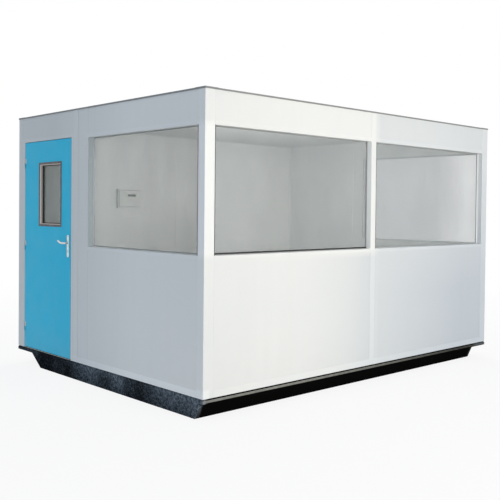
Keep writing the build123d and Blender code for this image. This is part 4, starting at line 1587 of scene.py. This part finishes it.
@dataclass
class SwitchBoard:
    """The small distribution board on the back wall."""

    plastic: Moulding = Moulding(
        "board_plastic", (236, 237, 234), (222, 223, 218), Grain(500.0, 2.0), (0.38, 0.5)
    )
    breaker: Moulding = Moulding(
        "breaker_grey", (206, 208, 208), (190, 192, 192), Grain(600.0, 2.0), (0.4, 0.5)
    )
    toggle: Moulding = Moulding("toggle_grey", (92, 94, 96), (112, 114, 115), Grain(600.0, 2.0), (0.3, 0.45))
    seal: Moulding = Moulding("lid_seal", (66, 68, 68), (92, 94, 94), Grain(400.0, 2.0), (0.55, 0.75))
    window_middle: float = 1.7315
    lid_face: float = 1.390
    recess: float = 1.397
    module: float = 0.018
    modules: int = 6
    first_run: float = -0.741
    breaker_half: float = 0.0145
    breaker_proud: float = 0.0030
    breaker_gap: float = 0.0004
    breaker_edge: float = 0.0006
    toggle_half: float = 0.012
    toggle_drop: float = 0.0006
    toggle_gap: float = 0.0010
    lid_margin: float = 0.016
    seal_width: float = 0.0024
    seal_proud: float = 0.0014
    seal_round: float = 0.0005

    def build(self) -> None:
        """Fills the lid's window with a row of breakers, and seals the lid to its box."""
        self.build_breakers()
        self.build_lid_seal()

    def build_breakers(self) -> None:
        """Sets a row of breakers with their toggles in the lid's window."""
        bodies, toggles = Piece("breaker_bodies"), Piece("breaker_toggles")
        height = self.window_middle
        front = self.recess - self.breaker_proud
        for index in range(self.modules):
            start = self.first_run + index * self.module
            end = start + self.module
            bodies.slab(
                (start + self.breaker_gap, front, height - self.breaker_half),
                (end - self.breaker_gap, self.recess, height + self.breaker_half), self.breaker_edge,
                Matrix.Identity(4),
            )
            toggles.slab(
                (start + self.toggle_gap, self.lid_face + self.toggle_drop, height - self.toggle_half),
                (end - self.toggle_gap, front, height + self.toggle_half), self.toggle_gap,
                Matrix.Identity(4),
            )
        bodies.settle(Body.CABIN, "board_plastic", self.breaker.make())
        toggles.settle(Body.CABIN, "board_plastic", self.toggle.make())

    def build_lid_seal(self) -> None:
        """Runs a seal round the lid, where it meets its box."""
        low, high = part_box("distribution_board")
        inset = self.lid_margin - self.seal_width
        seal = Piece("board_lid_seal")
        seal.ring(
            (low[0] + inset, low[2] + inset), (high[0] - inset, high[2] - inset), self.seal_width,
            (self.recess - self.seal_proud, self.recess), self.seal_round, Matrix.Identity(4),
        )
        seal.settle(Body.CABIN, "board_plastic", self.seal.make())

    def dress(self) -> None:
        """Finishes the board's box and lid."""
        dress(self.plastic.make(), "distribution_board")


@dataclass(frozen=True)
class Lamp:
    """A soft lamp that the camera doesn't see.

    Attributes:
        name: The lamp's name.
        power: Its power in watts.
        tint: Its colour.
        size: How wide it is, or its two sides.
        mirrored: Whether shiny surfaces show it.
    """

    name: str
    power: float
    tint: Point
    size: float | Span
    mirrored: bool = False

    def hang(self, place: Matrix) -> None:
        """Hangs the lamp, its light along its own -Z.

        Args:
            place: Where it hangs and how it is turned.
        """
        data = bpy.data.lights.new(self.name, "AREA")
        if isinstance(self.size, tuple):
            data.shape = "RECTANGLE"
            data.size, data.size_y = self.size
        else:
            data.shape = "DISK"
            data.size = self.size
        data.energy = self.power
        data.color = self.tint
        lamp = bpy.data.objects.new(self.name, data)
        lamp.matrix_world = place
        lamp.visible_camera = False
        lamp.visible_glossy = self.mirrored
        bpy.context.scene.collection.objects.link(lamp)

    def aim(self, place: Point, target: Point) -> None:
        """Hangs the lamp so that it looks at a point.

        Args:
            place: Where it hangs.
            target: The point that it looks at.
        """
        look = Vector(target) - Vector(place)
        self.hang(Matrix.Translation(place) @ look.to_track_quat("-Z", "Y").to_matrix().to_4x4())


@dataclass
class Studio:
    """Pale floor, soft light and the camera."""

    camera_place: Point = (-5.5915, -5.8668, 1.5873)
    yaw: float = 0.7482
    pitch: float = -0.0201
    roll: float = 0.0101
    lens: float = 54.86
    sensor: float = 36.0
    shift: float = -0.0507
    sight: float = 200.0
    ambient: float = 0.566
    ambient_tint: Point = (0.77, 0.876, 1.0)
    key: Lamp = Lamp("key", 193.0, (1.0, 0.91, 0.76), 3.0, True)
    key_places: tuple[Point, Point] = ((-0.2, -7.5, 2.4), (-0.2, -1.5, 1.3))
    fill: Lamp = Lamp("fill", 320.0, (1.0, 0.95, 0.86), 3.0, True)
    fill_places: tuple[Point, Point] = ((4.5, 5.5, 6.5), (0.3, 0.3, 1.6))
    wash_power: float = 1.3
    wash_tint: Point = (0.92, 0.97, 1.0)
    wash_reach: Span = (0.1, 1.2)
    wash_height: float = 0.012
    room_tint: Point = (1.0, 1.0, 0.98)
    room_size: float = 0.4
    room_lamps: tuple[tuple[float, Point, Point], ...] = (
        (12.3, (-1.3, -1.0, 1.9), (1.8, 1.2, 1.95)),
        (12.3, (1.35, -1.0, 1.9), (-1.6, 1.4, 2.0)),
        (4.4, (-0.3, 0.2, 1.3), (-0.3, 0.2, 2.4)),
    )
    floor_radius: float = 40.0
    floor_sides: int = 64
    floor_grey: float = 0.82
    floor_roughness: float = 0.9
    floor_fade: Span = (2.4, 9.0)
    floor_glow: Span = (0.88, 1.0)

    def build_camera(self) -> None:
        """Sets the camera at the photographed angle."""
        data = bpy.data.cameras.new("camera")
        data.sensor_width = self.sensor
        data.lens = self.lens
        data.shift_y = self.shift
        data.clip_end = self.sight
        level = math.cos(self.pitch)
        forward = Vector((math.sin(self.yaw) * level, math.cos(self.yaw) * level, math.sin(self.pitch)))
        right = forward.cross(Vector((0, 0, 1))).normalized()
        up = right.cross(forward)
        level_right = right * math.cos(self.roll) + up * math.sin(self.roll)
        level_up = up * math.cos(self.roll) - right * math.sin(self.roll)
        turn = Matrix((level_right, level_up, -forward)).transposed().to_4x4()
        camera = bpy.data.objects.new("camera", data)
        camera.matrix_world = Matrix.Translation(self.camera_place) @ turn
        bpy.context.scene.collection.objects.link(camera)
        bpy.context.scene.camera = camera

    def build_world(self) -> None:
        """Lights the booth all round, and shows white behind it."""
        world = bpy.data.worlds.new("studio")
        tree = Tree(world)
        ambient = tree.nodes["Background"]
        tree.join(ambient.inputs["Color"], (*self.ambient_tint, 1.0))
        tree.join(ambient.inputs["Strength"], self.ambient)
        white = tree.add("ShaderNodeBackground", {"Color": (1.0, 1.0, 1.0, 1.0), "Strength": 1.0})
        mixed = tree.mix_shaders(
            tree.seen_rays(), ambient.outputs["Background"], white.outputs["Background"]
        )
        tree.join(tree.nodes["World Output"].inputs["Surface"], mixed)
        bpy.context.scene.world = world

    def build_floor(self) -> None:
        """Lays a pale floor that keeps the booth's shadow and fades to white further out."""
        shape = bmesh.new()
        bmesh.ops.create_circle(shape, cap_ends=True, segments=self.floor_sides, radius=self.floor_radius)
        data = bpy.data.meshes.new("studio_floor")
        shape.to_mesh(data)
        shape.free()
        floor = bpy.data.objects.new("studio_floor", data)
        bpy.context.scene.collection.objects.link(floor)
        graph = Graph("studio_floor")
        graph.tune("Base Color", (self.floor_grey, self.floor_grey, self.floor_grey, 1.0))
        graph.tune("Roughness", self.floor_roughness)
        graph.tune("Specular IOR Level", 0.0)
        away = graph.add("ShaderNodeVectorMath", {0: graph.place}, operation="LENGTH").outputs["Value"]
        share = graph.times(graph.seen_rays(), graph.span(away, self.floor_fade, self.floor_glow))
        glow = graph.add("ShaderNodeEmission", {}).outputs["Emission"]
        mixed = graph.mix_shaders(share, graph.surface.outputs["BSDF"], glow)
        graph.join(graph.nodes["Material Output"].inputs["Surface"], mixed)
        data.materials.append(graph.material)

    def build_washes(self) -> None:
        """Lays a strip of soft light along the foot of the front and of the left wall."""
        near, far = self.wash_reach
        middle = (near + far) / 2
        strips = {
            "front_wash": ((0.0, -CABIN_DEPTH / 2 - middle), (CABIN_LENGTH, far - near)),
            "left_wash": ((-CABIN_LENGTH / 2 - middle, 0.0), (far - near, CABIN_DEPTH)),
        }
        for name, ((x, y), size) in strips.items():
            lamp = Lamp(name, self.wash_power, self.wash_tint, size)
            lamp.hang(Matrix.Translation((x, y, self.wash_height)) @ turned(180, "X"))

    def build(self) -> None:
        """Sets up the whole studio."""
        bpy.context.scene.view_settings.view_transform = "Standard"
        self.build_camera()
        self.build_world()
        self.build_floor()
        self.key.aim(*self.key_places)
        self.fill.aim(*self.fill_places)
        self.build_washes()
        for index, (power, place, target) in enumerate(self.room_lamps):
            Lamp(f"room_{index}", power, self.room_tint, self.room_size).aim(place, target)


def corners(box: tuple[object, object]) -> list[list[float]]:
    """Turns a box into plain lists of numbers."""
    return [[float(value) for value in corner] for corner in box]


def main() -> None:
    """Dresses the booth, adds its small pieces and lights it."""
    logging.basicConfig(level=logging.INFO, format="%(name)s: %(message)s")
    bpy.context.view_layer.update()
    Studio().build()
    for assembly in (
        Skid(), Walls(), Glazing(), Roof(), Doorway(), Lockset(), Hinges(), SwitchBoard(),
    ):
        assembly.build()
        assembly.dress()


if __name__ == "__main__":
    main()
